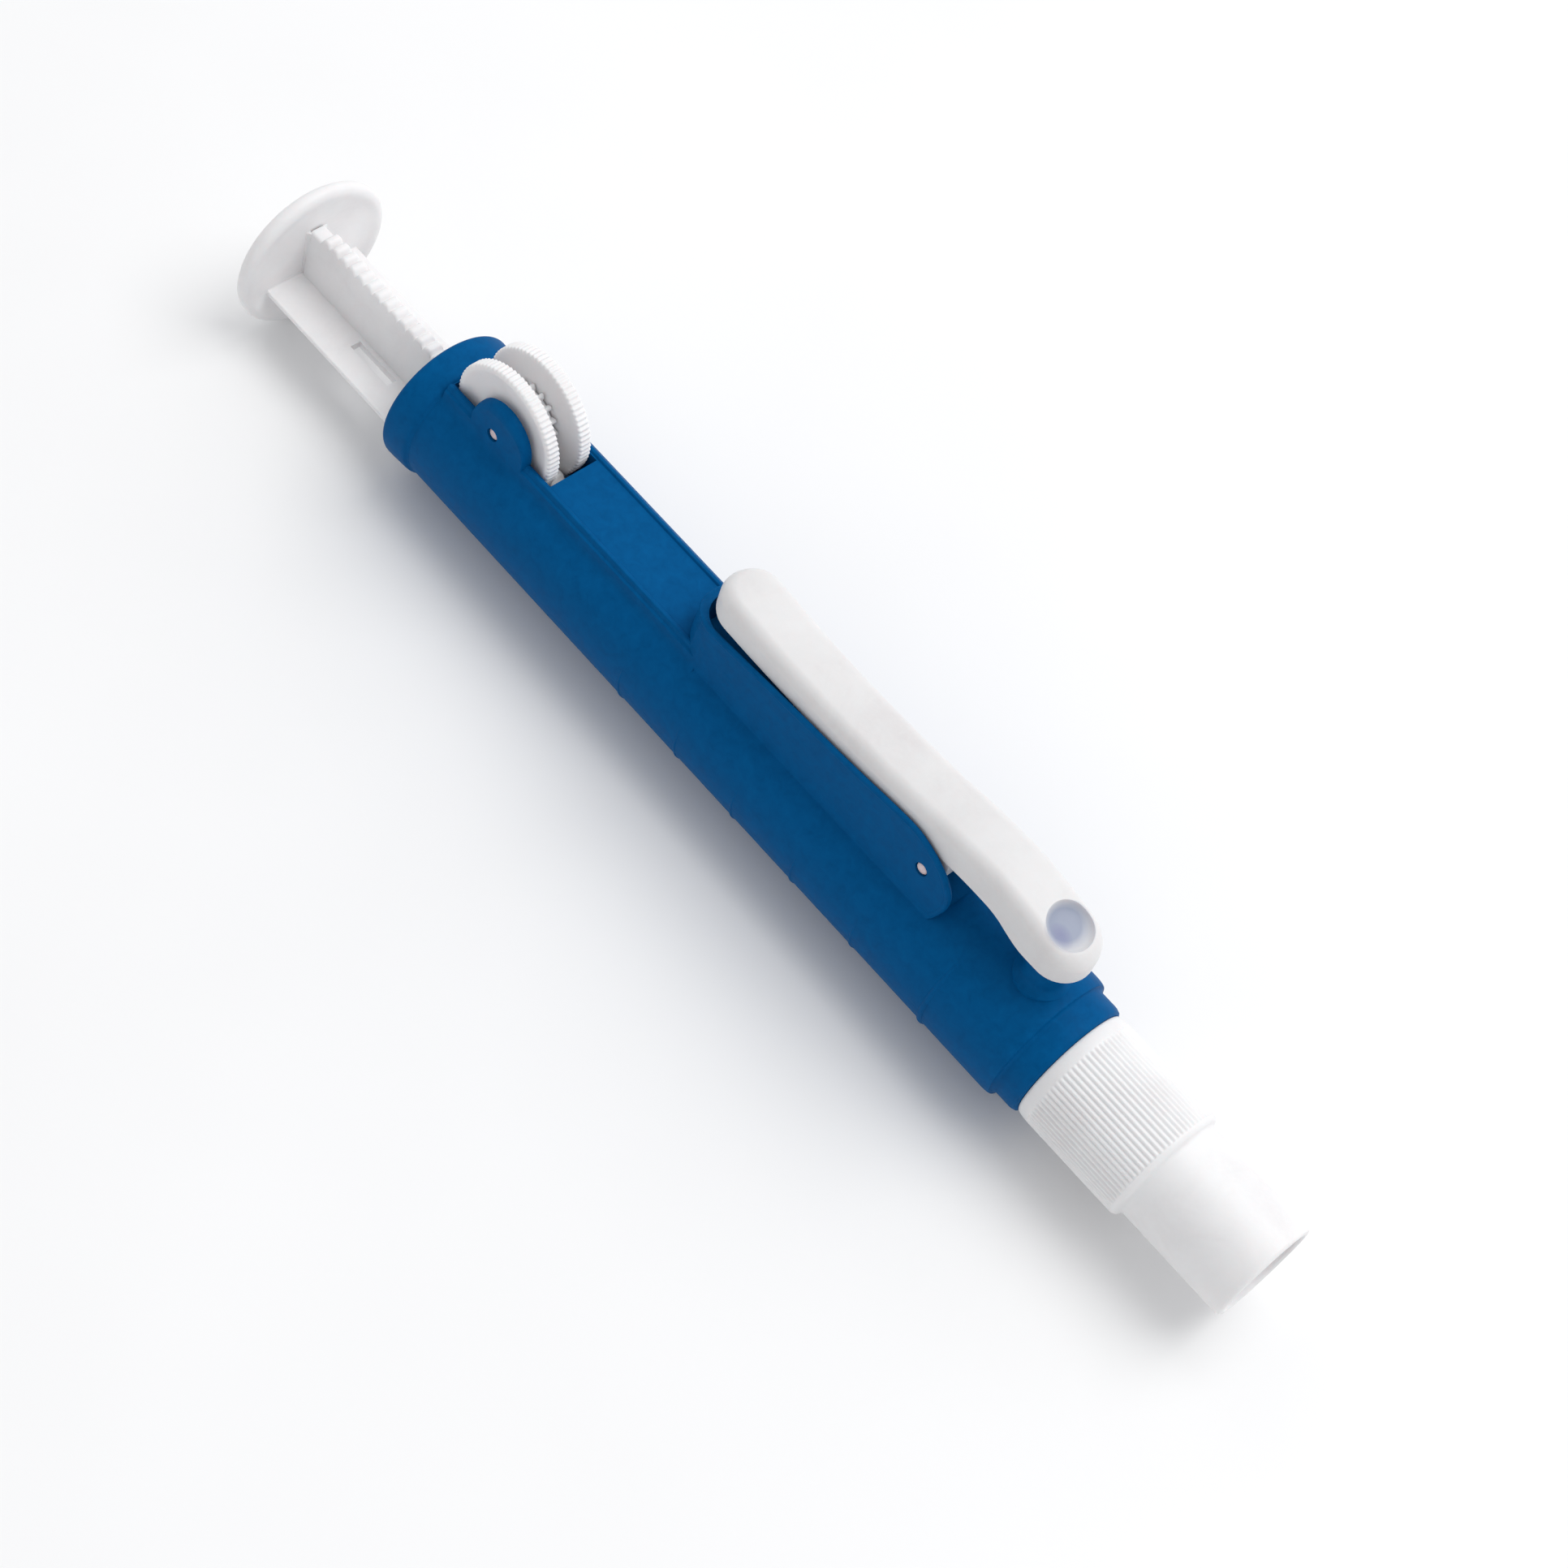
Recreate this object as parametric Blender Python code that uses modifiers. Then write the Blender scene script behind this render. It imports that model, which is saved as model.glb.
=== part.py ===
"""Pipette pump: rack plunger and thumbwheel, fast-release lever, screw-on nose cap.

Units are metres. +X runs along the tool from the thumb disc to the mouth, +Z is the lever
side, and Z = 0 is the surface that the tool lies on. A "station" is a distance back from
the mouth, along the tool's centre line. Heights are measured from the centre line.
"""
import math

import bmesh
import bpy

# Driving dimensions -------------------------------------------------------------------
LENGTH = 0.1714                # thumb disc face to mouth
DISC_R = 0.01093               # thumb disc, which the tool rests on
AXIS_Z = DISC_R                # height of the centre line
MOUTH_X = LENGTH / 2
CLEARANCE = 0.0003             # between pieces that fit into each other

BARREL_R = 0.0090
BARREL_BORE_R = 0.00785
BARREL_TOP = 0.1427            # stations from here on
COLLAR_START = 0.1393
COLLAR_TOP = 0.1439
NECK_R = 0.0082
NECK_TOP = 0.0351
SPIGOT_R = 0.00675             # threaded on the real tool, plain here
SPIGOT_END = 0.0196
SPIGOT_BORE_R = 0.0044

CYLINDER_BORE_R = 0.0041       # with the stroke this gives about 2 ml
CYLINDER_R = 0.00555
CYLINDER_SEAT_R = 0.00585
CYLINDER_START = 0.0413
CYLINDER_TOP = 0.0860
CHAMBER_R = 0.0030

CAP_TOP = 0.0315
CAP_RIB_R = 0.0079
CAP_SKIRT_R = 0.00694
CAP_STEP = 0.0156
CAP_SEAT = 0.0164              # inner shoulder that pulls the chuck up
CAP_THREAD_R = SPIGOT_R + CLEARANCE
CAP_MOUTH_R = 0.0059

EDGE_HALF = 0.0050             # ears and lever pod share this half width
RIDGE_FOOT_HALF = 0.0053       # the front ridge has drafted sides
RIDGE_TOP = 0.0093
RAIL_TOP = 0.0096
SLOT_HALF = 0.0036
SLOT_START = 0.1211
SLOT_END = 0.1391
POD_START = 0.0516
POD_END = 0.0968
POD_FLOOR = 0.0097
POD_WALL = 0.0008

AXLE = 0.1304                  # thumbwheel axle: station and height
AXLE_HEIGHT = 0.0099
PIN_R = 0.0008
PIN_HALF = 0.0048
WHEEL_R = 0.0084
FLANGE_IN = 0.0015
FLANGE_OUT = 0.00335
PINION_HALF = 0.0013
EAR_R = 0.0047
EAR_LEAN = 0.0008              # the ears stand this far towards the mouth of the axle

MODULE = 0.000525              # rack and pinion
TEETH = 16
PITCH = math.pi * MODULE
PITCH_R = MODULE * TEETH / 2
ADDENDUM = 0.0004
DEDENDUM = 0.00055
TOOTH_SLACK = 0.00007          # taken off each side of a tooth
PRESSURE = math.radians(20)

RIB_HALF = 0.00128             # plunger
RIB_END = 0.1125
PLATE_HALF = 0.0070
PLATE_FRONT = -0.0025
PLATE_BACK = -0.0036
ROD_R = 0.0023
PISTON_START = 0.0682          # where the piston stands at rest
PISTON_TOP = 0.0722
PISTON_R = 0.00385

PIVOT = 0.0562                 # lever pivot: station and height
PIVOT_HEIGHT = 0.0132
LEVER_HALF = 0.0039
LEVER_START = 0.0352
LEVER_END = 0.0955
VALVE = 0.0396                 # station of the air valve under the lever's tip
SEAT_R = 0.0026
SEAT_TOP = 0.0132
SPRING = 0.0790                # station of the lever spring

ROUND_STEPS = 48               # sides of the large turned shapes
SMALL_STEPS = 20               # sides of pins and small holes

BLUE = (0.004, 0.088, 0.262)
WHITE = (0.84, 0.84, 0.86)
PIN_WHITE = (0.78, 0.66, 0.66)
SILICONE = (0.72, 0.74, 0.76)
BLACK = (0.02, 0.02, 0.02)
STEEL = (0.56, 0.57, 0.58)


def clear_scene():
    """Remove every object of the open scene."""
    for old in list(bpy.data.objects):
        bpy.data.objects.remove(old, do_unlink=True)


def new_collection(name, hidden):
    """A collection in the scene, hidden from renders for cutters."""
    group = bpy.data.collections.new(name)
    group.hide_render = hidden
    bpy.context.scene.collection.children.link(group)
    return group


clear_scene()
PARTS = new_collection("pipette_pump", False)
TOOLS = new_collection("cutters", True)


def new_material(name, colour, roughness, metallic=0.0):
    """A Principled material."""
    material = bpy.data.materials.new(name)
    material.use_nodes = True
    shader = material.node_tree.nodes["Principled BSDF"]
    shader.inputs["Base Color"].default_value = (*colour, 1.0)
    shader.inputs["Roughness"].default_value = roughness
    shader.inputs["Metallic"].default_value = metallic
    return material


BLUE_PLASTIC = new_material("blue_plastic", BLUE, 0.42)
WHITE_PLASTIC = new_material("white_plastic", WHITE, 0.40)
PIN_PLASTIC = new_material("pin_plastic", PIN_WHITE, 0.45)
CLEAR_SILICONE = new_material("silicone", SILICONE, 0.50)
BLACK_RUBBER = new_material("black_rubber", BLACK, 0.60)
SPRING_STEEL = new_material("spring_steel", STEEL, 0.30, 1.0)


def at(station):
    """X of a station."""
    return MOUTH_X - station


# Shape helpers ------------------------------------------------------------------------
def place(name, mesh, material=None):
    """Link a mesh as a part, or as a cutter when it has no material."""
    thing = bpy.data.objects.new(name, mesh)
    if material:
        mesh.materials.append(material)
        PARTS.objects.link(thing)
        mesh.shade_smooth()
        mesh.set_sharp_from_angle(angle=math.radians(35))
    else:
        TOOLS.objects.link(thing)
        thing.hide_render = True
        thing.display_type = "WIRE"
    return thing


def turned(name, profile, material=None, steps=ROUND_STEPS):
    """Spin (station, radius) points about the centre line.

    The outer side comes first, from the mouth to the disc, then the inner side back. A
    profile that starts and ends on the centre line is solid, any other one is a ring.
    """
    mesh = bpy.data.meshes.new(name)
    points = [(radius, 0.0, -station) for station, radius in profile]
    edges = [(i, i + 1) for i in range(len(points) - 1)]
    if profile[0][1] > 0:
        edges.append((len(points) - 1, 0))
    mesh.from_pydata(points, edges, [])
    thing = place(name, mesh, material)
    thing.location = (MOUTH_X, 0, AXIS_Z)
    thing.rotation_euler = (0, math.pi / 2, 0)
    screw = thing.modifiers.new("spin", "SCREW")
    screw.axis = "Z"
    screw.steps = steps
    screw.render_steps = steps
    screw.use_merge_vertices = True
    screw.merge_threshold = 0.00001
    screw.use_smooth_shade = False
    return thing


def outline(name, points, thickness, turn, location, material=None):
    """A filled flat outline, extruded to a thickness about its plane, as a mesh."""
    curve = bpy.data.curves.new(name + "_outline", "CURVE")
    curve.dimensions = "2D"
    curve.fill_mode = "BOTH"
    curve.extrude = thickness / 2
    spline = curve.splines.new("POLY")
    spline.points.add(len(points) - 1)
    for point, (u, v) in zip(spline.points, points):
        point.co = (u, v, 0, 1)
    spline.use_cyclic_u = True
    drawn = bpy.data.objects.new(name + "_outline", curve)
    TOOLS.objects.link(drawn)
    drawn.rotation_euler = turn
    drawn.location = location
    return curve_to_mesh(name, drawn, material)


def curve_to_mesh(name, drawn, material):
    """Turn a curve object into a closed mesh object in the same place."""
    bpy.context.view_layer.update()
    graph = bpy.context.evaluated_depsgraph_get()
    mesh = bpy.data.meshes.new_from_object(drawn.evaluated_get(graph))
    mesh.materials.clear()
    work = bmesh.new()
    work.from_mesh(mesh)
    bmesh.ops.remove_doubles(work, verts=work.verts, dist=0.000001)
    bmesh.ops.recalc_face_normals(work, faces=work.faces)
    work.to_mesh(mesh)
    work.free()
    thing = place(name, mesh, material)
    thing.matrix_world = drawn.matrix_world.copy()
    bpy.data.objects.remove(drawn, do_unlink=True)
    return thing


def side_plate(name, points, half, material=None, y=0.0):
    """An outline of (station, height) points, extruded across the tool to +-half."""
    flat = [(-station, height) for station, height in points]
    place_at = (MOUTH_X, y, AXIS_Z)
    return outline(name, flat, 2 * half, (math.pi / 2, 0, 0), place_at, material)


def plan_plate(name, points, low, high, material=None):
    """An outline of (station, y) points, extruded upwards from low to high."""
    flat = [(-station, y) for station, y in points]
    place_at = (MOUTH_X, 0, AXIS_Z + (low + high) / 2)
    return outline(name, flat, high - low, (0, 0, 0), place_at, material)


def section_bar(name, points, start, end, material=None):
    """An outline of (y, height) points, extruded along the tool between two stations."""
    place_at = (at((start + end) / 2), 0, AXIS_Z)
    turn = (math.pi / 2, 0, math.pi / 2)
    return outline(name, points, end - start, turn, place_at, material)


def box(name, start, end, y_low, y_high, low, high):
    """A box cutter between two stations."""
    corners = [(start, y_low), (end, y_low), (end, y_high), (start, y_high)]
    return plan_plate(name, corners, low, high)


def cross_pin(name, station, height, radius, half, material=None, steps=SMALL_STEPS):
    """A cylinder across the tool."""
    return round_post(name, station, 0.0, height, radius, 2 * half, "Y", material, steps)


def round_post(name, station, y, height, radius, depth, axis, material=None,
               steps=SMALL_STEPS):
    """A cylinder primitive centred on a point, along one axis."""
    mesh = bpy.data.meshes.new(name)
    work = bmesh.new()
    bmesh.ops.create_cone(work, cap_ends=True, segments=steps, radius1=radius,
                          radius2=radius, depth=depth)
    work.to_mesh(mesh)
    work.free()
    thing = place(name, mesh, material)
    thing.location = (at(station), y, AXIS_Z + height)
    turns = {"X": (0, math.pi / 2, 0), "Y": (math.pi / 2, 0, 0), "Z": (0, 0, 0)}
    thing.rotation_euler = turns[axis]
    return thing


def seal_ring(name, station, centre_r, section_r, material):
    """An O-ring about the centre line."""
    corners = [(station + section_r * math.cos(turn), centre_r + section_r * math.sin(turn))
               for turn in [math.pi - 2 * math.pi * i / 6 for i in range(6)]]
    return turned(name, corners, material, steps=30)


def boolean(target, tool, operation):
    """Join, cut or intersect with an exact Boolean."""
    step = target.modifiers.new(tool.name, "BOOLEAN")
    step.operation = operation
    step.object = tool
    step.solver = "EXACT"


def join(target, *tools):
    for tool in tools:
        boolean(target, tool, "UNION")


def cut(target, *tools):
    for tool in tools:
        boolean(target, tool, "DIFFERENCE")


def arc(centre_u, centre_v, radius, start, end, steps):
    """Points on an arc between two angles in degrees."""
    turns = [math.radians(start + (end - start) * i / steps) for i in range(steps + 1)]
    return [(centre_u + radius * math.cos(turn), centre_v + radius * math.sin(turn))
            for turn in turns]


def stadium(start, end, half, round_start):
    """A plan outline with a round far end, and a round near end on request."""
    far = arc(end - half, 0, half, -90, 90, 12)
    if round_start:
        return far + arc(start + half, 0, half, 90, 270, 12)
    return far + [(start, half), (start, -half)]


# Barrel -------------------------------------------------------------------------------
def barrel_body():
    """The outside of the moulded tube, with its rounded shoulder, neck and spigot."""
    spigot_edge = 0.0004
    shoulder_length = 0.0012
    tube_end = COLLAR_START - 0.0001
    collar_seat_r = 0.0084
    shoulder = [(NECK_TOP + shoulder_length * (1 - math.cos(turn)),
                 NECK_R + (BARREL_R - NECK_R) * math.sin(turn))
                for turn in [math.radians(angle) for angle in (0, 30, 60, 90)]]
    profile = [(SPIGOT_END, 0), (SPIGOT_END, SPIGOT_R - spigot_edge),
               (SPIGOT_END + spigot_edge, SPIGOT_R), (CAP_TOP + CLEARANCE, SPIGOT_R),
               (CAP_TOP + CLEARANCE, NECK_R), *shoulder, (tube_end, BARREL_R),
               (tube_end, collar_seat_r), (BARREL_TOP, collar_seat_r), (BARREL_TOP, 0)]
    return turned("barrel", profile, BLUE_PLASTIC)


def barrel_bore():
    """The stepped hollow: spigot bore, throat, air chamber, cylinder seat, main bore."""
    past = 0.0010
    web = 0.0340
    chamber = 0.0360
    ledge = CYLINDER_START - CLEARANCE
    main = 0.0480
    throat_r = 0.0015
    profile = [(SPIGOT_END - past, 0), (SPIGOT_END - past, SPIGOT_BORE_R),
               (web, SPIGOT_BORE_R), (web, throat_r), (chamber, throat_r),
               (chamber, CHAMBER_R), (ledge, CHAMBER_R), (ledge, CYLINDER_SEAT_R),
               (main, CYLINDER_SEAT_R), (main, BARREL_BORE_R),
               (BARREL_TOP + past, BARREL_BORE_R), (BARREL_TOP + past, 0)]
    return turned("bore", profile)


def front_ridge():
    """The flat-topped ridge in front of the tube, with a thin rail on each side."""
    base = 0.0070
    crease = 0.0088
    rail_in = 0.0037
    half_section = [(RIDGE_FOOT_HALF, base), (0.0049, crease), (0.0044, RAIL_TOP),
                    (0.0039, RAIL_TOP), (rail_in, RIDGE_TOP)]
    mirrored = [(-y, height) for y, height in reversed(half_section)]
    return section_bar("ridge", half_section + mirrored, POD_END - 0.0040,
                       COLLAR_START - 0.0001)


def ear(name, side):
    """One rounded ear that holds an end of the thumbwheel axle."""
    middle = AXLE - EAR_LEAN
    foot = 0.0070
    top = arc(middle, AXLE_HEIGHT, EAR_R, 0, 180, 16)
    points = top + [(middle - EAR_R, foot), (middle + EAR_R, foot)]
    half = (EDGE_HALF - SLOT_HALF) / 2
    return side_plate(name, points, half, y=side * (SLOT_HALF + half))


def lever_pod():
    """The two-walled pod that carries the lever: a plan outline cut to a side outline."""
    pod = plan_plate("pod", stadium(POD_START, POD_END, EDGE_HALF, False), 0.0070, 0.0200)
    crest = [(POD_END + 0.001, 0.0060), (POD_END + 0.001, 0.0138), (0.0963, 0.0142),
             (0.0943, 0.0149), (0.0880, 0.0154), (0.0790, 0.0162), (0.0700, 0.0169),
             (0.0620, 0.0177), (0.0590, 0.0178), (0.0572, 0.0174), (0.0554, 0.0166),
             (0.0535, 0.0153), (0.0522, 0.0139), (POD_START, 0.0127),
             (POD_START - 0.0001, 0.0110), (0.0519, 0.0094), (0.0526, 0.0075),
             (0.0530, 0.0060)]
    boolean(pod, side_plate("pod_side", crest, 0.0080), "INTERSECT")
    return pod


def barrel():
    """The blue barrel with everything that is moulded on it."""
    body = barrel_body()
    join(body, front_ridge(), ear("ear_near", -1), ear("ear_far", 1), lever_pod())
    seat_low = 0.0070
    join(body, round_post("valve_seat", VALVE, 0, (seat_low + SEAT_TOP) / 2, SEAT_R,
                          SEAT_TOP - seat_low, "Z"))
    pocket = stadium(0.0500, POD_END - POD_WALL, EDGE_HALF - POD_WALL, False)
    cut(body, barrel_bore(), plan_plate("pod_pocket", pocket, POD_FLOOR, 0.0220))
    cut(body, box("wheel_slot", SLOT_START, SLOT_END, -SLOT_HALF, SLOT_HALF, 0.0040, 0.0160))
    hole_r = PIN_R + 0.0001
    cut(body, cross_pin("axle_hole", AXLE, AXLE_HEIGHT, hole_r, 0.0070),
        cross_pin("pivot_hole", PIVOT, PIVOT_HEIGHT, hole_r, 0.0070),
        round_post("air_way", VALVE, 0, 0.0080, 0.0008, 0.0140, "Z"))
    return body


def end_collar():
    """The proud ring pressed on the barrel's open end."""
    profile = [(COLLAR_START, 0.0093), (COLLAR_START + 0.0003, 0.00945),
               (COLLAR_TOP - 0.0008, 0.00962), (COLLAR_TOP - 0.0002, 0.00950),
               (COLLAR_TOP, 0.0092), (COLLAR_TOP, BARREL_BORE_R + 0.0001),
               (BARREL_TOP + CLEARANCE, BARREL_BORE_R + 0.0001),
               (BARREL_TOP + CLEARANCE, 0.00865), (COLLAR_START, 0.00865)]
    return turned("end_collar", profile, BLUE_PLASTIC)


# Pump cylinder and piston ---------------------------------------------------------------
def pump_cylinder():
    """The liner that the piston runs in, held by its flange and sealed at its foot."""
    groove_start = 0.0440
    groove_end = 0.0456
    groove_r = 0.00485
    flange_r = 0.0075
    flange_start = CYLINDER_TOP - 0.0014
    outer = [(CYLINDER_START, CYLINDER_R), (groove_start, CYLINDER_R),
             (groove_start, groove_r), (groove_end, groove_r), (groove_end, CYLINDER_R),
             (flange_start, CYLINDER_R), (flange_start, flange_r), (CYLINDER_TOP, flange_r)]
    inner = [(CYLINDER_TOP, 0.0046), (CYLINDER_TOP - 0.0008, CYLINDER_BORE_R),
             (CYLINDER_START, CYLINDER_BORE_R)]
    turned("pump_cylinder", outer + inner, WHITE_PLASTIC, steps=36)
    seal_ring("cylinder_seal", (groove_start + groove_end) / 2, 0.00534, 0.00042,
              BLACK_RUBBER)


def piston():
    """The piston head on the plunger's foot, with its seal."""
    stub_r = 0.0018
    groove = [(0.0696, PISTON_R), (0.0696, 0.0031), (0.0708, 0.0031), (0.0708, PISTON_R)]
    profile = [(PISTON_START, 0), (PISTON_START, PISTON_R - 0.0003),
               (PISTON_START + 0.0003, PISTON_R), *groove, (PISTON_TOP, PISTON_R),
               (PISTON_TOP, stub_r), (PISTON_START + 0.0010, stub_r),
               (PISTON_START + 0.0010, 0)]
    turned("piston_head", profile, WHITE_PLASTIC, steps=32)
    seal_ring("piston_seal", 0.0702, 0.00358, 0.00042, BLACK_RUBBER)


# Plunger --------------------------------------------------------------------------------
def rack_rib():
    """The plunger's centre rib: a rack of straight-sided teeth along its front edge."""
    pitch_height = AXLE_HEIGHT - PITCH_R
    tip_half = PITCH / 4 - TOOTH_SLACK - ADDENDUM * math.tan(PRESSURE)
    root_half = PITCH / 4 - TOOTH_SLACK + DEDENDUM * math.tan(PRESSURE)
    root = pitch_height - DEDENDUM
    tip = pitch_height + ADDENDUM
    end = LENGTH - 0.0018
    first = math.ceil((RIB_END + PITCH / 2 - AXLE) / PITCH)
    last = math.floor((end - PITCH - AXLE) / PITCH)
    points = [(RIB_END, PLATE_BACK + 0.0003), (RIB_END, root)]
    for number in range(first, last + 1):
        middle = AXLE + number * PITCH
        points += [(middle - root_half, root), (middle - tip_half, tip),
                   (middle + tip_half, tip), (middle + root_half, root)]
    points += [(end, root), (end, PLATE_BACK + 0.0003)]
    return side_plate("rib", points, RIB_HALF)


def plunger_plate():
    """The wide flat blade behind the rib, with its back edges bevelled to the bore."""
    bevel = 0.0005
    section = [(-PLATE_HALF, PLATE_FRONT), (PLATE_HALF, PLATE_FRONT),
               (PLATE_HALF, PLATE_BACK + bevel), (PLATE_HALF - bevel, PLATE_BACK),
               (bevel - PLATE_HALF, PLATE_BACK), (-PLATE_HALF, PLATE_BACK + bevel)]
    return section_bar("blade", section, RIB_END, LENGTH - 0.0017)


def plunger():
    """One moulding: thumb disc, blade, rack and the slim rod down to the piston."""
    under = LENGTH - 0.0020
    disc = [(under + 0.0004, 0), (under + 0.0002, 0.0070), (under, 0.0098),
            (under + 0.0002, 0.0105), (under + 0.0007, DISC_R), (under + 0.0012, DISC_R),
            (LENGTH - 0.0003, 0.0106), (LENGTH, 0.0100), (LENGTH, 0)]
    body = turned("plunger_rod", disc, WHITE_PLASTIC)
    rod = [(PISTON_START + 0.0013, 0), (PISTON_START + 0.0013, 0.0015),
           (PISTON_TOP + CLEARANCE, 0.0015), (PISTON_TOP + CLEARANCE, ROD_R),
           (RIB_END + 0.0030, ROD_R), (RIB_END + 0.0030, 0)]
    join(body, plunger_plate(), rack_rib(), turned("rod", rod, steps=SMALL_STEPS))
    for side, name in ((-1, "window_near"), (1, "window_far")):
        edges = sorted((side * 0.0015, side * 0.0034))
        cut(body, box(name, 0.1498, 0.1570, edges[0], edges[1], -0.0050, -0.0010))
    return body


# Thumbwheel -----------------------------------------------------------------------------
def pinion_outline():
    """Sixteen involute teeth with a gap facing the rack, about the axle."""
    base_r = PITCH_R * math.cos(PRESSURE)
    tip_r = PITCH_R + ADDENDUM
    root_r = PITCH_R - DEDENDUM
    half_at_pitch = (PITCH / 4 - TOOTH_SLACK) / PITCH_R

    def involute(radius):
        turn = math.acos(min(1.0, base_r / radius))
        return math.tan(turn) - turn

    flank = []
    for radius in (root_r, base_r, PITCH_R, (PITCH_R + tip_r) / 2, tip_r):
        half = half_at_pitch + involute(PITCH_R) - involute(max(radius, base_r))
        flank.append((radius, half))
    points = []
    for tooth in range(TEETH):
        middle = -math.pi / 2 + (tooth + 0.5) * 2 * math.pi / TEETH
        sides = [(radius, -half) for radius, half in flank]
        sides += [(radius, half) for radius, half in reversed(flank)]
        points += [(AXLE + radius * math.cos(middle + turn),
                    AXLE_HEIGHT + radius * math.sin(middle + turn)) for radius, turn in sides]
    return points


def thumbwheel():
    """The pinion with its hub, and the two finger flanges pressed on the hub."""
    hub_r = 0.0023
    gear = side_plate("wheel_pinion", pinion_outline(), PINION_HALF, WHITE_PLASTIC)
    join(gear, cross_pin("hub", AXLE, AXLE_HEIGHT, hub_r, FLANGE_OUT - 0.0001))
    cut(gear, cross_pin("hub_bore", AXLE, AXLE_HEIGHT, PIN_R + 0.0001, 0.0060))
    middle = (FLANGE_IN + FLANGE_OUT) / 2
    bore = cross_pin("flange_bore", AXLE, AXLE_HEIGHT, hub_r + 0.0002, 0.0060)
    for name, side in (("wheel_flange_near", -1), ("wheel_flange_far", 1)):
        disc = round_post(name, AXLE, side * middle, AXLE_HEIGHT, WHEEL_R,
                          FLANGE_OUT - FLANGE_IN, "Y", WHITE_PLASTIC, 48)
        cut(disc, bore)
        edge = disc.modifiers.new("edge", "BEVEL")
        edge.width = 0.0002
        edge.segments = 1
        edge.angle_limit = math.radians(60)
    cross_pin("wheel_axle", AXLE, AXLE_HEIGHT, PIN_R, PIN_HALF, PIN_PLASTIC)


# Lever ----------------------------------------------------------------------------------
def lever_side():
    """The lever seen from the side: long thumb pad, crest over the pivot, drooping tip."""
    top = [(LEVER_END, 0.0180), (0.0952, 0.0195), (0.0940, 0.0206), (0.0922, 0.0208),
           (0.0870, 0.0203), (0.0826, 0.0199), (0.0744, 0.0197), (0.0670, 0.0199),
           (0.0610, 0.0203), (0.0560, 0.0209), (0.0510, 0.0214), (0.0478, 0.0214),
           (0.0450, 0.0211), (0.0420, 0.0205), (0.0390, 0.0198), (0.0365, 0.0191),
           (LEVER_START, 0.0183)]
    under = [(LEVER_START, 0.0160), (0.0358, 0.0148), (0.0370, 0.0144), (0.0420, 0.0144),
             (0.0440, 0.0150), (0.0460, 0.0158), (0.0480, 0.0161), (0.0530, 0.0160)]
    eye = arc(PIVOT, PIVOT_HEIGHT, 0.0022, 200, 360, 10)
    back = [(0.0600, 0.0152), (0.0850, 0.0156), (0.0930, 0.0160), (0.0949, 0.0168)]
    return top + under + eye + back


def lever():
    """The white release lever, its rubber valve pad, pivot pin and return spring."""
    body = side_plate("release_lever", lever_side(), LEVER_HALF, WHITE_PLASTIC)
    plan = stadium(LEVER_START, LEVER_END, LEVER_HALF, True)
    boolean(body, plan_plate("lever_plan", plan, 0.0050, 0.0300), "INTERSECT")
    pad_r = 0.0024
    pad_low = SEAT_TOP + 0.0001
    pad_high = 0.0153
    cut(body, cross_pin("eye_bore", PIVOT, PIVOT_HEIGHT, PIN_R + 0.0001, 0.0060),
        round_post("dimple", VALVE, 0, 0.0230, 0.0030, 0.0070, "Z", steps=32),
        round_post("pad_seat", VALVE, 0, pad_high + 0.0002 - 0.0020, pad_r + 0.0002, 0.0040, "Z"))
    round_post("valve_pad", VALVE, 0, (pad_low + pad_high) / 2, pad_r, pad_high - pad_low, "Z",
               BLACK_RUBBER)
    cross_pin("lever_pin", PIVOT, PIVOT_HEIGHT, PIN_R, PIN_HALF, PIN_PLASTIC)
    lever_spring()


def lever_spring():
    """A coil that lifts the long end of the lever and so keeps the valve shut."""
    wire_r = 0.00025
    coil_r = 0.0022
    turns = 4.5
    per_turn = 12
    low = POD_FLOOR + wire_r + 0.0001
    high = 0.0150 - wire_r
    curve = bpy.data.curves.new("lever_spring_coil", "CURVE")
    curve.dimensions = "3D"
    curve.bevel_depth = wire_r
    curve.bevel_resolution = 1
    curve.use_fill_caps = True
    count = int(turns * per_turn) + 1
    spline = curve.splines.new("POLY")
    spline.points.add(count - 1)
    for number, point in enumerate(spline.points):
        turn = 2 * math.pi * number / per_turn
        height = low + (high - low) * number / (count - 1)
        point.co = (coil_r * math.cos(turn), coil_r * math.sin(turn), height, 1)
    drawn = bpy.data.objects.new("lever_spring_coil", curve)
    TOOLS.objects.link(drawn)
    drawn.location = (at(SPRING), 0, AXIS_Z)
    curve_to_mesh("lever_spring", drawn, SPRING_STEEL)


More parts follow.
